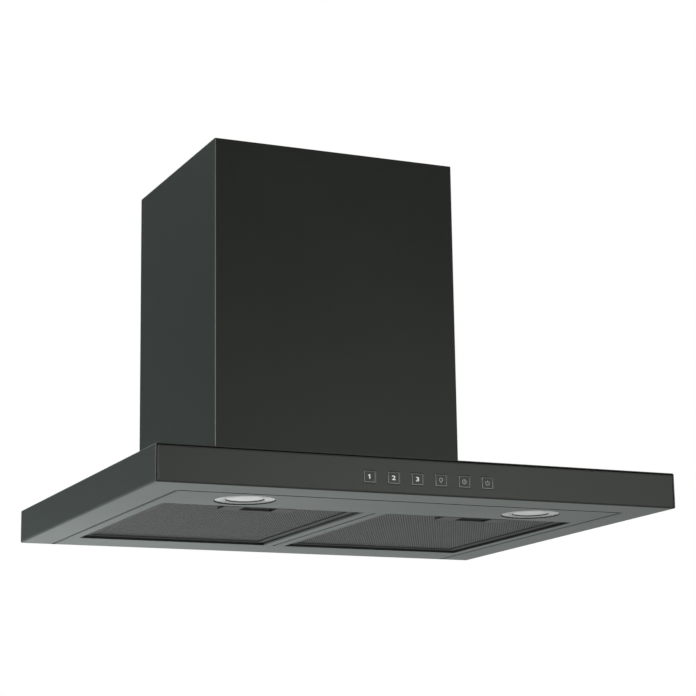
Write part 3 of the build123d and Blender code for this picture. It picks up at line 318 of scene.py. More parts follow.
def brushed(name, base, grain, side_grain):
    """Satin sheet, brushed along one direction, and along another where it faces sideways."""
    made = Finish(name, metallic=1.0, specular_tint=(0.88, 0.95, 0.93, 1.0))
    sideways = abs(made.facing("X")) > SIDEWAYS
    lines = made.noise(grain, 3.0, 0.6)
    side_lines = made.noise(side_grain, 3.0, 0.6)
    grained = lines + sideways * (side_lines - lines)
    smudge = made.noise(5.0, 3.0)
    tone = grained * 0.55 + smudge * 0.45
    made.set(
        base_color=made.shade(tone, base, 0.86, 1.16),
        roughness=0.3 + grained * 0.1 + smudge * 0.06,
        normal=made.bump(grained, 0.00003, 0.35, edge=0.0012),
    )
    return made.material


def canopy_steel(base):
    """Steel of the canopy, brushed from side to side and, on its ends, from front to rear."""
    return brushed("canopy_steel", base, (ALONG, ACROSS, ACROSS), (ACROSS, ALONG, ACROSS))


def chimney_steel(base):
    """Steel of the chimney covers, brushed up and down."""
    return brushed("chimney_steel", base, (ACROSS, ACROSS, ALONG), (ACROSS, ACROSS, ALONG))


def cast(name, base, rough, metallic=0.0, grain=2600.0, relief=0.00003, sheen=1.0):
    """A fine even grain: plastic, paint or cast metal. A low sheen dims its gloss seen edge on."""
    made = Finish(name, metallic=metallic, specular_tint=(sheen, sheen, sheen, 1.0))
    skin = made.noise(grain, 3.0, 0.6)
    cloud = made.noise(11.0)
    made.set(
        base_color=made.shade(cloud * 0.7 + skin * 0.3, base, 0.88, 1.12),
        roughness=rough - 0.05 + skin * 0.1,
        normal=made.bump(skin, relief, 0.5),
    )
    return made.material


def ground(name, base, grain):
    """Bright ground metal, with fine lines along one direction or with an even grain."""
    made = Finish(name, metallic=1.0)
    lines = made.noise(grain)
    made.set(
        base_color=made.shade(lines, base, 0.85, 1.1),
        roughness=0.2 + lines * 0.18,
        normal=made.bump(lines, 0.00002, 0.4),
    )
    return made.material


def zinc(base):
    """Galvanised sheet with its flat crystals."""
    made = Finish("zinc", metallic=1.0)
    flakes = made.node("ShaderNodeSeparateColor", inputs={0: made.cells(95.0)})
    fine = made.noise(420.0, 3.0)
    tone = flakes * 0.7 + fine * 0.3
    made.set(
        base_color=made.shade(tone, base, 0.74, 1.18),
        roughness=0.36 + flakes * 0.16,
        normal=made.bump(fine, 0.00003, 0.3),
    )
    return made.material


def foil(base):
    """Creased aluminium foil."""
    made = Finish("foil", metallic=1.0)
    creases = made.noise((420.0, 160.0, 420.0), 4.0, 0.6)
    made.set(
        base_color=made.shade(creases, base, 0.7, 1.25),
        roughness=0.32 + creases * 0.2,
        normal=made.bump(creases, 0.0003, 0.7),
    )
    return made.material


def satin_trim(base):
    """Satin trim metal, turned, with faint wipe marks."""
    made = Finish("satin_trim", metallic=1.0, specular_tint=(0.86, 0.88, 0.88, 1.0))
    wipes = made.noise((90.0, 90.0, 500.0), 3.0)
    made.set(
        base_color=made.shade(wipes, base, 0.9, 1.08),
        roughness=0.2 + wipes * 0.12,
    )
    return made.material


def frosted(base):
    """Frosted lens, with small even dimples."""
    made = Finish("frosted", ior=1.49, coat_roughness=0.12)
    dimples = made.cells(620.0, "Distance")
    haze = made.noise(40.0)
    made.set(
        base_color=made.shade(haze, base, 0.94, 1.04),
        coat_weight=0.35 + haze * 0.1,
        roughness=0.36 + haze * 0.08,
        normal=made.bump(dimples, 0.0002, 0.35),
    )
    return made.material


def print_ink(name, base):
    """Printed ink, slightly uneven."""
    made = Finish(name)
    speckle = made.noise(3200.0)
    made.set(
        base_color=made.shade(speckle, base, 0.92, 1.06),
        roughness=0.42 + speckle * 0.1,
    )
    return made.material


def winding(base):
    """Enamelled copper wires that lie side by side along the motor's axis."""
    made = Finish("winding", metallic=1.0, coat_roughness=0.2)
    settings = {"wave_type": "BANDS", "bands_direction": "Y"}
    sockets = {"Vector": made.place(1.0), "Scale": 260.0, "Distortion": 1.5, "Detail": 1.0}
    wires = made.node("ShaderNodeTexWave", settings, sockets, output=1)
    made.set(
        base_color=made.shade(wires, base, 0.45, 1.2),
        coat_weight=0.4 + wires * 0.2,
        roughness=0.4 - wires * 0.12,
        normal=made.bump(wires, 0.0003, 0.6),
    )
    return made.material


def solder_mask(base):
    """Green board with faint lighter tracks."""
    made = Finish("solder_mask")
    settings = {"offset": 0.37, "squash": 1.0}
    sockets = {
        "Vector": made.place(1.0), "Scale": 160.0, "Mortar Size": 0.03,
        "Color1": rgba(base, 0.85), "Color2": rgba(base, 1.0), "Mortar": rgba(base, 1.9),
    }
    tracks = made.node("ShaderNodeTexBrick", settings, sockets)
    sheen = made.noise(60.0)
    made.set(base_color=tracks, roughness=0.3 + sheen * 0.12)
    return made.material


def pale_floor(base):
    """Plain matt floor that is clear from below, so that the underside can be looked at."""
    made = Finish("pale_floor")
    cloud = made.noise(1.5, 3.0)
    made.set(
        base_color=made.shade(cloud, base, 0.985, 1.0),
        roughness=0.85 + cloud * 0.05,
    )
    below = made.node("ShaderNodeNewGeometry", output="Backfacing")
    clear = made.node("ShaderNodeBsdfTransparent")
    matt = Value(made, made.shader.outputs["BSDF"])
    seen = made.node("ShaderNodeMixShader", inputs={0: below, 1: matt, 2: clear})
    made.join(made.tree.nodes["Material Output"].inputs["Surface"], seen)
    return made.material


def paint(material, *nodes):
    """Gives CAD nodes one material all over."""
    for name in nodes:
        data = frame["nodes"][name].data
        data.materials.clear()
        data.materials.append(material)
        for face in data.polygons:
            face.material_index = 0


def both(name):
    """The left and right nodes of a name."""
    return [f"{name}_{side}" for side in SIDES]


# ---------------------------------------------------------------- modelling by hand
def start_fresh():
    """Leaves nothing selected, so that an operator reaches the new piece alone."""
    bpy.ops.object.select_all(action="DESELECT")
    bpy.context.view_layer.objects.active = None


def select_only(*pieces):
    """Selects these pieces and nothing else, and makes the first of them active."""
    start_fresh()
    for piece in pieces:
        piece.select_set(True)
    bpy.context.view_layer.objects.active = pieces[0]


def take(name):
    """Names the primitive just added and puts its place into its mesh."""
    piece = bpy.context.object
    piece.name = name
    piece.data.name = name
    bpy.ops.object.transform_apply(location=True, rotation=True, scale=True)
    return piece


def edit_all(kind="VERT"):
    """Enters edit mode with everything selected."""
    bpy.ops.object.mode_set(mode="EDIT")
    bpy.ops.mesh.select_mode(type=kind)
    bpy.ops.mesh.select_all(action="SELECT")


def pick(piece, kind, wanted):
    """Selects the faces or edges that wanted accepts, and leaves the piece in edit mode."""
    bpy.ops.object.mode_set(mode="EDIT")
    bpy.ops.mesh.select_mode(type=kind)
    bpy.ops.mesh.select_all(action="DESELECT")
    bpy.ops.object.mode_set(mode="OBJECT")
    parts = piece.data.polygons if kind == "FACE" else piece.data.edges
    for part in parts:
        part.select = bool(wanted(part))
    bpy.ops.object.mode_set(mode="EDIT")


def ends(piece, edge):
    """The places of an edge's two ends."""
    return [piece.data.vertices[i].co for i in edge.vertices]


def modify(piece, kind, **settings):
    """Gives the active piece a modifier and applies it."""
    made = piece.modifiers.new(kind.lower(), kind)
    for name, value in settings.items():
        setattr(made, name, value)
    bpy.ops.object.modifier_apply(modifier=made.name)


def thicken(piece, depth):
    """Gives a flat piece its thickness, half to each side."""
    modify(piece, "SOLIDIFY", thickness=depth, offset=0.0)


def joined(name, pieces):
    """Joins pieces into one."""
    select_only(*pieces)
    bpy.ops.object.join()
    pieces[0].name = name
    pieces[0].data.name = name
    return pieces[0]


def finished(piece, body, materials):
    """Closes a piece: clean normals, shading, finishes, and the body that it rides on."""
    edit_all()
    bpy.ops.mesh.remove_doubles(threshold=MERGE)
    bpy.ops.mesh.normals_make_consistent(inside=False)
    bpy.ops.object.mode_set(mode="OBJECT")
    select_only(piece)
    bpy.ops.object.shade_smooth_by_angle(angle=SMOOTH_ANGLE)
    for material in materials:
        piece.data.materials.append(material)
    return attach(piece, body)


def grow(offset, scale=None, centre=None):
    """Extrudes what is selected by offset, and then scales the new edge about centre."""
    bpy.ops.mesh.extrude_region_move(TRANSFORM_OT_translate={"value": offset})
    if scale:
        bpy.ops.transform.resize(value=scale, center_override=centre)


def turned(name, middle, stations, closed=False):
    """A round piece about an upright axis: stations are radii and heights along its profile."""
    start_fresh()
    radius, height = stations[0]
    bpy.ops.mesh.primitive_circle_add(
        vertices=96, radius=radius, location=(middle.x, middle.y, height)
    )
    piece = take(name)
    edit_all()
    for next_radius, next_height in stations[1:]:
        factor = next_radius / radius
        centre = (middle.x, middle.y, next_height)
        grow((0, 0, next_height - height), (factor, factor, 1), centre)
        radius, height = next_radius, next_height
    bpy.ops.object.mode_set(mode="OBJECT")
    if closed:
        for level in (stations[0][1], stations[-1][1]):
            pick(piece, "EDGE",
                 lambda edge: all(abs(end.z - level) < NEAR for end in ends(piece, edge)))
            bpy.ops.mesh.edge_face_add()
            bpy.ops.mesh.poke()
            bpy.ops.object.mode_set(mode="OBJECT")
    return piece


def body_of(node):
    """The body that a CAD node rides on."""
    return frame["nodes"][node]["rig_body"]


# ---------------------------------------------------------------- keys
def key_block(count):
    """One push key: face with a bright rim, flange and stem."""
    s = sizes()
    low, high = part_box(f"key_{count}")
    middle = (low + high) / 2
    start_fresh()
    bpy.ops.mesh.primitive_cube_add(
        size=1,
        location=(middle.x, low.y + s.key_skirt / 2, middle.z),
        scale=(s.key_width, s.key_skirt, s.key_height),
    )
    piece = take(f"push_key_{count}")
    back = low.y + s.key_skirt
    flange = back + s.key_flange
    pick(piece, "FACE", lambda face: face.normal.y > SQUARE_ON)
    wide = ((high.x - low.x) / s.key_width, 1, (high.z - low.z) / s.key_height)
    grow((0, 0, 0), wide, (middle.x, back, middle.z))
    grow((0, s.key_flange, 0))
    narrow = (s.key_stem / (high.x - low.x), 1, s.key_stem / (high.z - low.z))
    grow((0, 0, 0), narrow, (middle.x, flange, middle.z))
    grow((0, high.y - flange, 0))
    bpy.ops.object.mode_set(mode="OBJECT")

    pick(piece, "EDGE", lambda edge: all(end.y < low.y + NEAR for end in ends(piece, edge)))
    bpy.ops.mesh.bevel(offset=s.key_edge, segments=3, affect="EDGES")
    bpy.ops.object.mode_set(mode="OBJECT")
    pick(piece, "FACE", lambda face: face.center.y < low.y + NEAR)
    bpy.ops.mesh.inset(thickness=s.key_rim)
    grow((0, s.key_dish, 0))
    bpy.ops.object.mode_set(mode="OBJECT")
    return piece, low.y + s.key_dish


def rim_faces(piece):
    """The faces of the bright rim, which lie in front of the key's dished face."""
    front = min(point.co.y for point in piece.data.vertices)
    dish = front + sizes().key_dish
    return [
        face for face in piece.data.polygons
        if face.center.y < dish - NEAR and face.normal.y < -STEEP
    ]


# A number's strokes are thickened by this share of its height, and it is stretched sideways at most
# so many times as much as upwards.
BOLDNESS = 0.015
WIDENING = 1.45
# The fine lines of a symbol, as a share of its other lines.
FINE_LINE = 0.8


def number_mark(count, at):
    """A bold printed number that faces the front."""
    s = sizes()
    start_fresh()
    bpy.ops.object.text_add(location=at, rotation=(pi / 2, 0, 0))
    text = bpy.context.object
    text.data.body = str(count)
    text.data.size = s.mark_height
    text.data.offset = s.mark_height * BOLDNESS
    text.data.extrude = s.mark_depth / 2
    text.data.resolution_u = 6
    bpy.ops.object.convert(target="MESH")
    mark = take(f"key_mark_{count}")
    corners = [Vector(corner) for corner in mark.bound_box]
    centre = sum(corners, Vector()) / len(corners)
    taller = s.mark_height / mark.dimensions.z
    wider = min(taller * WIDENING, s.mark_width / mark.dimensions.x)
    edit_all()
    bpy.ops.transform.resize(value=(wider, 1, taller), center_override=centre)
    bpy.ops.transform.translate(value=(at[0] - centre.x, 0, at[2] - centre.z))
    bpy.ops.object.mode_set(mode="OBJECT")
    return mark


def one_mark(count, at):
    """The number 1, with a flag at the top of its stroke."""
    stroke = number_mark(count, at)
    width = stroke.dimensions.x
    x, y, z = at
    beside, above = width * 0.75, sizes().mark_height * 0.34
    flag = bar_mark((x - beside, y, z + above), width * 1.3, width * 0.8, turn=-38.0)
    return joined(f"key_mark_{count}", [stroke, flag])


def arc_mark(at, radius, gap=0.0, gap_at=90.0):
    """A printed ring that faces the front, with a gap of so many degrees at a place on it."""
    s = sizes()
    inner, outer = radius - s.mark_line / 2, radius + s.mark_line / 2
    start_fresh()
    bpy.ops.mesh.primitive_circle_add(
        vertices=48, radius=outer, location=at, rotation=(pi / 2, 0, 0)
    )
    mark = take("arc")
    edit_all()
    factor = inner / outer
    grow((0, 0, 0), (factor, 1, factor), at)
    bpy.ops.object.mode_set(mode="OBJECT")

    def inside_gap(face):
        turn = degrees(atan2(face.center.z - at[2], face.center.x - at[0]))
        return abs((turn - gap_at + 180) % 360 - 180) < gap / 2

    pick(mark, "FACE", inside_gap)
    bpy.ops.mesh.delete(type="FACE")
    bpy.ops.object.mode_set(mode="OBJECT")
    thicken(mark, s.mark_depth)
    return mark


def bar_mark(at, width, height, turn=0.0):
    """A short printed bar that faces the front."""
    start_fresh()
    bpy.ops.mesh.primitive_cube_add(
        size=1, location=at, rotation=(0, turn * pi / 180, 0),
        scale=(width, sizes().mark_depth, height),
    )
    return take("bar")


def lamp_mark(at):
    """Bulb with its cap, for the lamps' key."""
    line, bulb = sizes().mark_line, sizes().bulb_radius
    x, y, z = at
    marks = [arc_mark((x, y, z + bulb * 0.4), bulb, gap=64.0, gap_at=-90.0)]
    for below, width in ((0.75, 1.1), (1.3, 0.8)):
        marks.append(bar_mark((x, y, z - bulb * below), bulb * width, line * FINE_LINE))
    return joined("key_mark_4", marks)


def clock_mark(at):
    """Clock face, for the timer's key."""
    line, radius = sizes().mark_line * FINE_LINE, sizes().clock_radius
    x, y, z = at
    face = arc_mark(at, radius)
    long_hand = bar_mark((x, y, z + radius * 0.3), line, radius * 0.75)
    short_hand = bar_mark((x + radius * 0.22, y, z - radius * 0.06), radius * 0.55, line)
    return joined("key_mark_5", [face, long_hand, short_hand])


def power_mark(at):
    """Open ring with a bar, for the power key."""
    line, radius = sizes().mark_line, sizes().power_radius
    x, y, z = at
    ring = arc_mark(at, radius, gap=76.0)
    bar = bar_mark((x, y, z + radius * 0.7), line, radius * 1.1)
    return joined("key_mark_6", [ring, bar])


class HOOD_OT_keys(bpy.types.Operator):
    """Six square push keys with numbers and plain symbols"""

    bl_idname = "hood.keys"
    bl_label = "Keys"

    def execute(self, context):
        c = colours()
        face = cast("key_face", c.key, rough=0.36, metallic=1.0, grain=2200.0, relief=0.00001)
        rim = ground("key_rim", c.rim, grain=900.0)
        white, grey = print_ink("number_ink", c.number), print_ink("symbol_ink", c.symbol)
        numbers = {1: one_mark, 2: number_mark, 3: number_mark}
        symbols = {4: lamp_mark, 5: clock_mark, 6: power_mark}
        for count in KEYS:
            piece, dish = key_block(count)
            low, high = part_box(f"key_{count}")
            body = body_of(f"key_{count}")
            finished(piece, body, [face, rim])
            for flat in rim_faces(piece):
                flat.material_index = 1
            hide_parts(f"key_{count}")
            at = ((low.x + high.x) / 2, dish, (low.z + high.z) / 2)
            mark = symbols[count](at) if count in symbols else numbers[count](count, at)
            finished(mark, body, [grey if count in symbols else white])
        return {"FINISHED"}


# ---------------------------------------------------------------- lamps
# The flare round a lens is down to this share of its width at this share of the ring's height.
FLARE_LEFT = 0.4
FLARE_AT = 0.2


def lamp_ring(side):
    """Flat trim ring with a rounded outer edge, the well round the lens, whose walls get painted
    shade, and the sleeve.
    """
    s = sizes()
    low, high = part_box(f"lamp_bezel_{side}")
    face, seat, edge = low.z, low.z + s.ring_height, s.ring_edge
    inside = s.sleeve_radius - s.sleeve_wall
    well = s.lens_radius + s.lens_gap
    stations = [(s.sleeve_radius, high.z), (s.sleeve_radius, seat), (s.ring_radius, seat)]
    steps = 4
    for step in range(steps + 1):
        turn = step / steps * pi / 2
        radius = s.ring_radius - edge * (1 - cos(turn))
        stations.append((radius, face + edge * (1 - sin(turn))))
    stations += [
        (s.ring_radius - edge - s.ring_polish, face),
        (well + s.lens_flare, face),
        (well + s.lens_flare * FLARE_LEFT, face + s.ring_height * FLARE_AT),
        (well, seat),
        (inside, seat),
        (inside, high.z),
        (s.sleeve_radius, high.z),
    ]
    return turned(f"lamp_ring_{side}", (low + high) / 2, stations)


def well_faces(piece, middle):
    """The steep faces just outside the lens, which get painted shade."""
    s = sizes()
    reach = s.lens_radius + s.lens_gap + s.lens_flare * FLARE_LEFT
    return [
        face for face in piece.data.polygons
        if (face.center.xy - middle.xy).length < reach and abs(face.normal.z) < STEEP
    ]


def edge_faces(piece, middle):
    """The outer band and the rounded outer edge of the ring's face, which get a painted highlight.
    """
    s = sizes()
    reach = s.ring_radius - s.ring_edge - s.ring_polish
    return [
        face for face in piece.data.polygons if (face.center.xy - middle.xy).length > reach
    ]


def lamp_glass(side):
    """Frosted lens, slightly domed, behind the trim ring."""
    s = sizes()
    low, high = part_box(f"lamp_lens_{side}")
    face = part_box(f"lamp_bezel_{side}")[0].z + s.lens_depth
    seat = face + s.lens_step
    flange = s.lens_radius + s.lens_flange
    steps = 6
    stations = [(flange, high.z), (flange + s.lens_step, seat)]
    stations += [(s.lens_radius, seat), (s.lens_radius, face)]
    for step in range(1, steps):
        turn = step / steps * pi / 2
        stations.append((s.lens_radius * cos(turn), face - s.lens_dome * sin(turn)))
    return turned(f"lamp_glass_{side}", (low + high) / 2, stations, closed=True)


class HOOD_OT_lamps(bpy.types.Operator):
    """Both lamps: trim rings, frosted lenses, bodies and clips"""

    bl_idname = "hood.lamps"
    bl_label = "Lamps"

    def execute(self, context):
        c = colours()
        trim, lens = satin_trim(c.chrome), frosted(c.lens)
        # Painted shade: the steep walls of the well round each lens get a near-black matt finish in
        # place of the shadow in that gap.
        well = cast("painted_shade_well", c.shadow, rough=0.7)
        # Painted highlight: brighter metal on the outer band and rounded edge of each ring.
        polish = ground("painted_highlight_edge", c.polish, grain=400.0)
        for side in SIDES:
            low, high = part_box(f"lamp_bezel_{side}")
            middle = (low + high) / 2
            ring = finished(lamp_ring(side), body_of(f"lamp_bezel_{side}"),
                            [trim, well, polish])
            for face in well_faces(ring, middle):
                face.material_index = 1
            for face in edge_faces(ring, middle):
                face.material_index = 2
            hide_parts(f"lamp_bezel_{side}")
            glass = finished(lamp_glass(side), body_of(f"lamp_lens_{side}"), [lens])
            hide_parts(f"lamp_lens_{side}")
        casting = cast("lamp_casting", c.bright, rough=0.42, metallic=1.0, grain=900.0,
                       relief=0.0001)
        paint(casting, *both("lamp_body"))
        paint(ground("clip_steel", c.bright, grain=(600.0, 20.0, 600.0)), "lamp_clips")
        return {"FINISHED"}


# ---------------------------------------------------------------- grease filters
def clear_cup(piece, side):
    """Makes room in a sheet for the latch's cup, at the middle of its front edge."""
    s = sizes()
    low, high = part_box(f"latch_spring_{side}")
    middle, rear = (low.x + high.x) / 2, high.y + s.cup_wall
    reach = s.cup_half + s.mesh_across / 2
    pick(piece, "FACE", lambda face: abs(face.center.x - middle) < reach
         and face.center.y < rear + s.mesh_along / 2)
    bpy.ops.mesh.bisect(plane_co=(middle, rear, low.z), plane_no=(0, 1, 0), clear_inner=True)
    bpy.ops.object.mode_set(mode="OBJECT")


def strainer(side):
    """Expanded metal sheet: a grid turned into diamonds, each with its middle cut out."""
    s = sizes()
    low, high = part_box(f"filter_outer_mesh_{side}")
    rim_low, rim_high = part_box(f"filter_frame_{side}")
    low_x, high_x = rim_low.x + s.mesh_margin, rim_high.x - s.mesh_margin
    low_y, high_y = rim_low.y + s.mesh_margin, high.y + (low.y - rim_low.y) - s.mesh_margin
    start_fresh()
    bpy.ops.mesh.primitive_grid_add(
        x_subdivisions=round((high_x - low_x) / s.mesh_across),
        y_subdivisions=round((high_y - low_y) / s.mesh_along),
        size=1,
        location=((low_x + high_x) / 2, (low_y + high_y) / 2, (low.z + high.z) / 2),
    )
    bpy.ops.transform.resize(value=(high_x - low_x, high_y - low_y, 1))
    piece = take(f"strainer_{side}")
    edit_all("FACE")
    bpy.ops.mesh.poke()
    bpy.ops.object.mode_set(mode="OBJECT")

    def straight(edge):
        first, second = ends(piece, edge)
        return min(abs(first.x - second.x), abs(first.y - second.y)) < NEAR

    pick(piece, "EDGE", straight)
    bpy.ops.mesh.dissolve_edges(use_verts=False)
    bpy.ops.object.mode_set(mode="OBJECT")

    edit_all("FACE")
    bpy.ops.mesh.inset(use_individual=True, thickness=s.mesh_strand / 2)
    bpy.ops.mesh.delete(type="FACE")
    bpy.ops.object.mode_set(mode="OBJECT")
    clear_cup(piece, side)
    thicken(piece, s.mesh_thickness)
    return piece


def solids_of(node, name):
    """A copy of a CAD node's mesh, with its loose triangles merged."""
    piece = bpy.data.objects.new(name, frame["nodes"][node].data.copy())
    piece.data.name = name
    piece.data.materials.clear()
    bpy.context.collection.objects.link(piece)
    select_only(piece)
    edit_all()
    bpy.ops.mesh.remove_doubles(threshold=MERGE)
    bpy.ops.object.mode_set(mode="OBJECT")
    return piece


def add_spring(side, strip):
    """Wave spring behind a latch's slider, copied from the CAD spring, with a mesh of its own."""
    node, joint = f"latch_spring_{side}", f"latch_{side}_slide"
    low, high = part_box(node)
    travel = next(
        entry["range_m"][1] for entry in frame["record"]["behaviour"]["joints"]
        if entry["name"] == joint
    )
    piece = finished(solids_of(node, f"wave_spring_{side}"), body_of(node), [strip])
    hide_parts(node)
    1 - travel / (high.y - low.y)
    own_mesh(piece)


class HOOD_OT_filters(bpy.types.Operator):
    """Both grease filters, with their expanded metal sheets, latches and springs"""

    bl_idname = "hood.filters"
    bl_label = "Grease filters"

    def execute(self, context):
        c = colours()
        metal = cast("anodised", c.filter_metal, rough=0.45, metallic=1.0, grain=1500.0,
                     relief=0.00002, sheen=0.54)
        sheet = cast("expanded_sheet", c.filter_metal, rough=0.45, metallic=1.0, grain=700.0,
                     relief=0.00005, sheen=0.64)
        for side in SIDES:
            piece = finished(strainer(side), body_of(f"filter_outer_mesh_{side}"),
                             [sheet])
            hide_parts(f"filter_outer_mesh_{side}")
        paint(metal, *both("filter_frame"), *both("filter_inner_mesh"))
        paint(foil(c.foil), *both("filter_core"))
        latch = cast("latch_metal", c.filter_metal, rough=0.42, metallic=1.0, grain=1900.0,
                     relief=0.00001, sheen=0.52)
        paint(latch, *both("latch_plate"), *both("latch_slider"))
        strip = ground("spring_strip", c.bright, grain=(500.0, 500.0, 40.0))
        for side in SIDES:
            add_spring(side, strip)
        return {"FINISHED"}


# ---------------------------------------------------------------- casing and blower
class HOOD_OT_casing(bpy.types.Operator):
    """Canopy and chimney covers in dark satin steel, and the galvanised sheet behind them"""

    bl_idname = "hood.casing"
    bl_label = "Casing"

    def execute(self, context):
        c = colours()
        paint(canopy_steel(c.steel), "canopy_body", "front_fascia", "bottom_pan", "divider_rails")
        paint(chimney_steel(c.cover_steel), "chimney_lower", "chimney_upper")
        paint(zinc(c.galvanised), "flue_bracket", "blower_box", "motor_mount", "capacitor_clip")
        return {"FINISHED"}


# A pan head's rounding and slot depth, as shares of its height; the width of a slot, as a share of
# its radius; and the tip of the thread, as a share of the thread's radius.
HEAD_ROUNDING = 0.42
SLOT_DEPTH = 0.8
SLOT_WIDTH = 0.26
TIP = 0.5
# Corners are rounded to so many decimals of a metre, so that screws of one row sort together.
ROW_DECIMALS = 4


def screw_boxes(node):
    """The boxes of a CAD node's separate screws, from left to right and front to rear."""
    solids_of(node, "loose_screws")
    edit_all()
    bpy.ops.mesh.separate(type="LOOSE")
    bpy.ops.object.mode_set(mode="OBJECT")
    boxes = []
    for part in list(bpy.context.selected_objects):
        lowest, highest = part.bound_box[0], part.bound_box[6]
        boxes.append((Vector(lowest), Vector(highest)))
        bpy.data.objects.remove(part)
    return sorted(boxes, key=lambda box: [round(value, ROW_DECIMALS) for value in box[0]])


def cut_slot(piece, place, turn, width, depth):
    """Cuts one slot of the cross recess into a screw's head."""
    start_fresh()
    bpy.ops.mesh.primitive_cube_add(
        size=1, location=place, rotation=(0, 0, turn), scale=(sizes().screw_recess, width, depth)
    )
    cutter = take("cutter")
    select_only(piece)
    modify(piece, "BOOLEAN", operation="DIFFERENCE", solver="EXACT", object=cutter)
    bpy.data.objects.remove(cutter)


def pan_screw(low, high):
    """A pan-head screw with a cross recess, its head up, in a box from low to high."""
    s = sizes()
    middle = (low + high) / 2
    radius, seat = (high.x - low.x) / 2, high.z - s.screw_head
    start_fresh()
    bpy.ops.mesh.primitive_cylinder_add(
        vertices=40, radius=radius, depth=s.screw_head,
        location=(middle.x, middle.y, seat + s.screw_head / 2),
    )
    piece = take("box_screws")
    pick(piece, "EDGE", lambda edge: all(end.z > high.z - NEAR for end in ends(piece, edge)))
    bpy.ops.mesh.bevel(offset=s.screw_head * HEAD_ROUNDING, segments=4, affect="EDGES")
    bpy.ops.object.mode_set(mode="OBJECT")
    pick(piece, "FACE", lambda face: face.normal.z < -SQUARE_ON)
    factor = s.screw_thread / radius
    grow((0, 0, 0), (factor, factor, 1), (middle.x, middle.y, seat))
    grow((0, 0, low.z + s.screw_thread / 2 - seat))
    grow((0, 0, -s.screw_thread / 2), (TIP, TIP, 1), (middle.x, middle.y, low.z))
    bpy.ops.object.mode_set(mode="OBJECT")
    top = (middle.x, middle.y, high.z)
    for turn in (0.0, pi / 2):
        cut_slot(piece, top, turn, radius * SLOT_WIDTH, s.screw_head * SLOT_DEPTH)
    return piece


def screw_set(node):
    """All the screws of a node: one is modelled and then copied to the places of the others."""
    boxes = screw_boxes(node)
    first = pan_screw(*boxes[0])
    screws = [first]
    for low, _ in boxes[1:]:
        select_only(first)
        bpy.ops.object.duplicate()
        bpy.ops.transform.translate(value=low - boxes[0][0])
        screws.append(take("copied_screw"))
    return joined("box_screws", screws)


class HOOD_OT_blower(bpy.types.Operator):
    """Fan, motor, scroll, capacitor, screws, duct collar, damper and cable gland"""

    bl_idname = "hood.blower"
    bl_label = "Blower"

    def execute(self, context):
        c = colours()
        moulding = cast("fan_moulding", c.housing, rough=0.5)
        paint(moulding, "fan_wheel", "scroll_left", "scroll_right")
        paint(cast("damper_moulding", c.damper, rough=0.46), "outlet_collar", "damper_flap_front",
              "damper_flap_rear", "cable_gland")
        coat = cast("motor_paint", c.motor, rough=0.4, metallic=0.3, grain=500.0, relief=0.00008)
        paint(coat, "motor_housing")
        paint(winding(c.copper), "motor_stator")
        shaft = ground("ground_steel", c.bright, grain=(30.0, 1500.0, 1500.0))
        paint(shaft, "motor_rotor", "motor_shaft", "motor_bearings", "damper_axle", "wheel_nut",
              "motor_screws")
        screws = finished(screw_set("housing_screws"), body_of("housing_screws"),
                          [shaft])
        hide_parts("housing_screws")
        can = cast("capacitor_can", c.pale, rough=0.44, grain=900.0, relief=0.00004)
        paint(can, "capacitor")
        return {"FINISHED"}


class HOOD_OT_wiring(bpy.types.Operator):
    """Key frame, boards, switches, power module and leads"""

    bl_idname = "hood.wiring"
    bl_label = "Wiring"

    def execute(self, context):
        c = colours()
        paint(solder_mask(c.board), "control_board", "led_boards")
        frame_moulding = cast("moulded_frame", c.housing, rough=0.5, grain=1900.0)
        paint(frame_moulding, "key_frame", "power_module")
        switches = cast("switch_moulding", c.damper, rough=0.4, grain=2400.0, relief=0.00001)
        paint(switches, "key_switches")
        leads = cast("insulation", c.rubber, rough=0.55, grain=1500.0, relief=0.00002)
        paint(leads, "wiring_loom")
        return {"FINISHED"}


# ---------------------------------------------------------------- stage
CAMERA_PLACE = (-0.9492, -2.4197, -0.3188)
CAMERA_YAW = 0.4205
CAMERA_PITCH = 0.2195
CAMERA_ROLL = -0.0144
FOCAL_PIXELS = 2075.1
PICTURE_PIXELS = 696
SENSOR = 36.0
CLIP_START, CLIP_END = 0.05, 60.0

FLOOR_RADIUS = 9.0
FILL_LEVEL = 0.5
CENTRE = (0.0, -0.2, 0.2)
# Place, aim, width and height in metres, and power in watts.
SOFTBOXES = {
    "key_light": ((1.4, -3.4, 0.4), CENTRE, 1.0, 0.5, 5.0),
    "edge_light": ((-2.85, -1.58, 0.6), CENTRE, 0.3, 1.3, 75.0),
    "floor_light": ((0.5, 5.0, 0.9), (0.5, 5.0, -0.6), 1.6, 1.6, 120.0),
}
# Place, aim, width and height in metres, and tone.
CARDS = {
    "rear_card": ((-1.15, 2.5, 0.95), (-1.15, 0.0, 0.95), 2.0, 1.5, (0.325, 0.355, 0.365)),
    "front_card": ((1.3, -3.5, 1.75), (1.3, 0.0, 1.75), 4.0, 2.3, (0.32, 0.32, 0.3)),
}
CARD_DEPTH = 0.01


def add_camera():
    """Camera at the photograph's viewing angle."""
    start_fresh()
    bpy.ops.object.camera_add()
    camera = bpy.context.object
    camera.name = "camera"
    camera.data.sensor_width = SENSOR
    camera.data.lens = SENSOR * FOCAL_PIXELS / PICTURE_PIXELS
    camera.data.clip_start = CLIP_START
    camera.data.clip_end = CLIP_END
    aim = Matrix.Rotation(-CAMERA_YAW, 4, "Z") @ Matrix.Rotation(pi / 2 + CAMERA_PITCH, 4, "X")
    camera.matrix_world = (
        Matrix.Translation(CAMERA_PLACE) @ aim @ Matrix.Rotation(CAMERA_ROLL, 4, "Z")
    )
    bpy.context.scene.camera = camera


def aimed(place, aim_at):
    """Turn of an object at place whose -Z side faces aim_at."""
    return (Vector(aim_at) - Vector(place)).to_track_quat("-Z", "Y").to_euler()


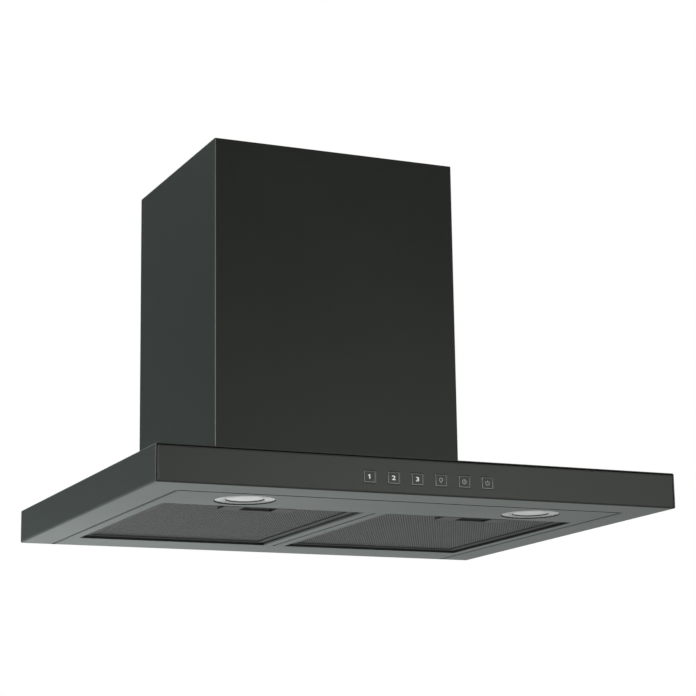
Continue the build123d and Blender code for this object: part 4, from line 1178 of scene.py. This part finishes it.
def add_softbox(name, place, aim_at, width, height, power):
    """A rectangular studio lamp that points at a place."""
    start_fresh()
    bpy.ops.object.light_add(type="AREA", location=place, rotation=aimed(place, aim_at))
    lamp = bpy.context.object
    lamp.name = name
    lamp.data.shape = "RECTANGLE"
    lamp.data.size = width
    lamp.data.size_y = height
    lamp.data.energy = power
    lamp.visible_camera = False


def add_card(name, place, aim_at, width, height, tone):
    """A grey card that darkens reflections and that the camera doesn't see."""
    start_fresh()
    bpy.ops.mesh.primitive_cube_add(
        size=1, location=place, rotation=aimed(place, aim_at), scale=(width, height, CARD_DEPTH)
    )
    card = take(name)
    card.visible_camera = False
    card.visible_shadow = False
    card.data.materials.append(cast(name, tone, rough=0.9, grain=20.0))


def add_world(level):
    """White background for the camera and for reflections, and a plain level of fill light."""
    world = bpy.data.worlds.new("studio")
    bpy.context.scene.world = world
    world.use_nodes = True
    web = Web(world.node_tree)
    rays = ("Is Camera Ray", "Is Glossy Ray", "Is Transmission Ray")
    seen = 0.0
    for ray in rays:
        seen = web.node("ShaderNodeLightPath", output=ray) + seen
    seen = seen > 0.5
    shader = world.node_tree.nodes["Background"]
    web.join(shader.inputs["Color"], (1.0, 1.0, 1.0, 1.0))
    web.join(shader.inputs["Strength"], level + seen * (1.0 - level))


class HOOD_OT_stage(bpy.types.Operator):
    """Pale floor, soft studio light and the camera"""

    bl_idname = "hood.stage"
    bl_label = "Stage"

    def execute(self, context):
        bpy.context.scene.view_settings.view_transform = "Standard"
        start_fresh()
        bpy.ops.mesh.primitive_circle_add(
            vertices=64, radius=FLOOR_RADIUS, fill_type="NGON",
            location=(0, 0, -sizes().floor_drop),
        )
        floor = take("floor")
        floor.data.materials.append(pale_floor(colours().floor))
        for name, settings in SOFTBOXES.items():
            add_softbox(name, *settings)
        for name, settings in CARDS.items():
            add_card(name, *settings)
        add_world(FILL_LEVEL)
        add_camera()
        return {"FINISHED"}


# ---------------------------------------------------------------- add-on
OPERATORS = (
    HOOD_OT_casing,
    HOOD_OT_filters,
    HOOD_OT_lamps,
    HOOD_OT_keys,
    HOOD_OT_blower,
    HOOD_OT_wiring,
    HOOD_OT_stage,
)


class HOOD_PT_panel(bpy.types.Panel):
    """Builds the hood step by step"""

    bl_idname = "HOOD_PT_panel"
    bl_label = "Range hood"
    bl_space_type = "VIEW_3D"
    bl_region_type = "UI"
    bl_category = "Range hood"

    def draw(self, context):
        for operator in OPERATORS:
            self.layout.operator(operator.bl_idname)
        for group in (context.scene.hood_sizes, context.scene.hood_colours):
            box = self.layout.box()
            for name in group.__annotations__:
                box.prop(group, name)


CLASSES = (HoodSizes, HoodColours, *OPERATORS, HOOD_PT_panel)


def register():
    """Adds the classes and the scene's settings."""
    for kind in CLASSES:
        bpy.utils.register_class(kind)
    bpy.types.Scene.hood_sizes = bpy.props.PointerProperty(type=HoodSizes)
    bpy.types.Scene.hood_colours = bpy.props.PointerProperty(type=HoodColours)


def unregister():
    """Takes the classes and the scene's settings away again."""
    del bpy.types.Scene.hood_colours
    del bpy.types.Scene.hood_sizes
    for kind in reversed(CLASSES):
        bpy.utils.unregister_class(kind)


def main():
    """Builds everything."""
    register()
    bpy.ops.hood.casing()
    bpy.ops.hood.filters()
    bpy.ops.hood.lamps()
    bpy.ops.hood.keys()
    bpy.ops.hood.blower()
    bpy.ops.hood.wiring()
    bpy.ops.hood.stage()


if __name__ == "__main__":
    main()
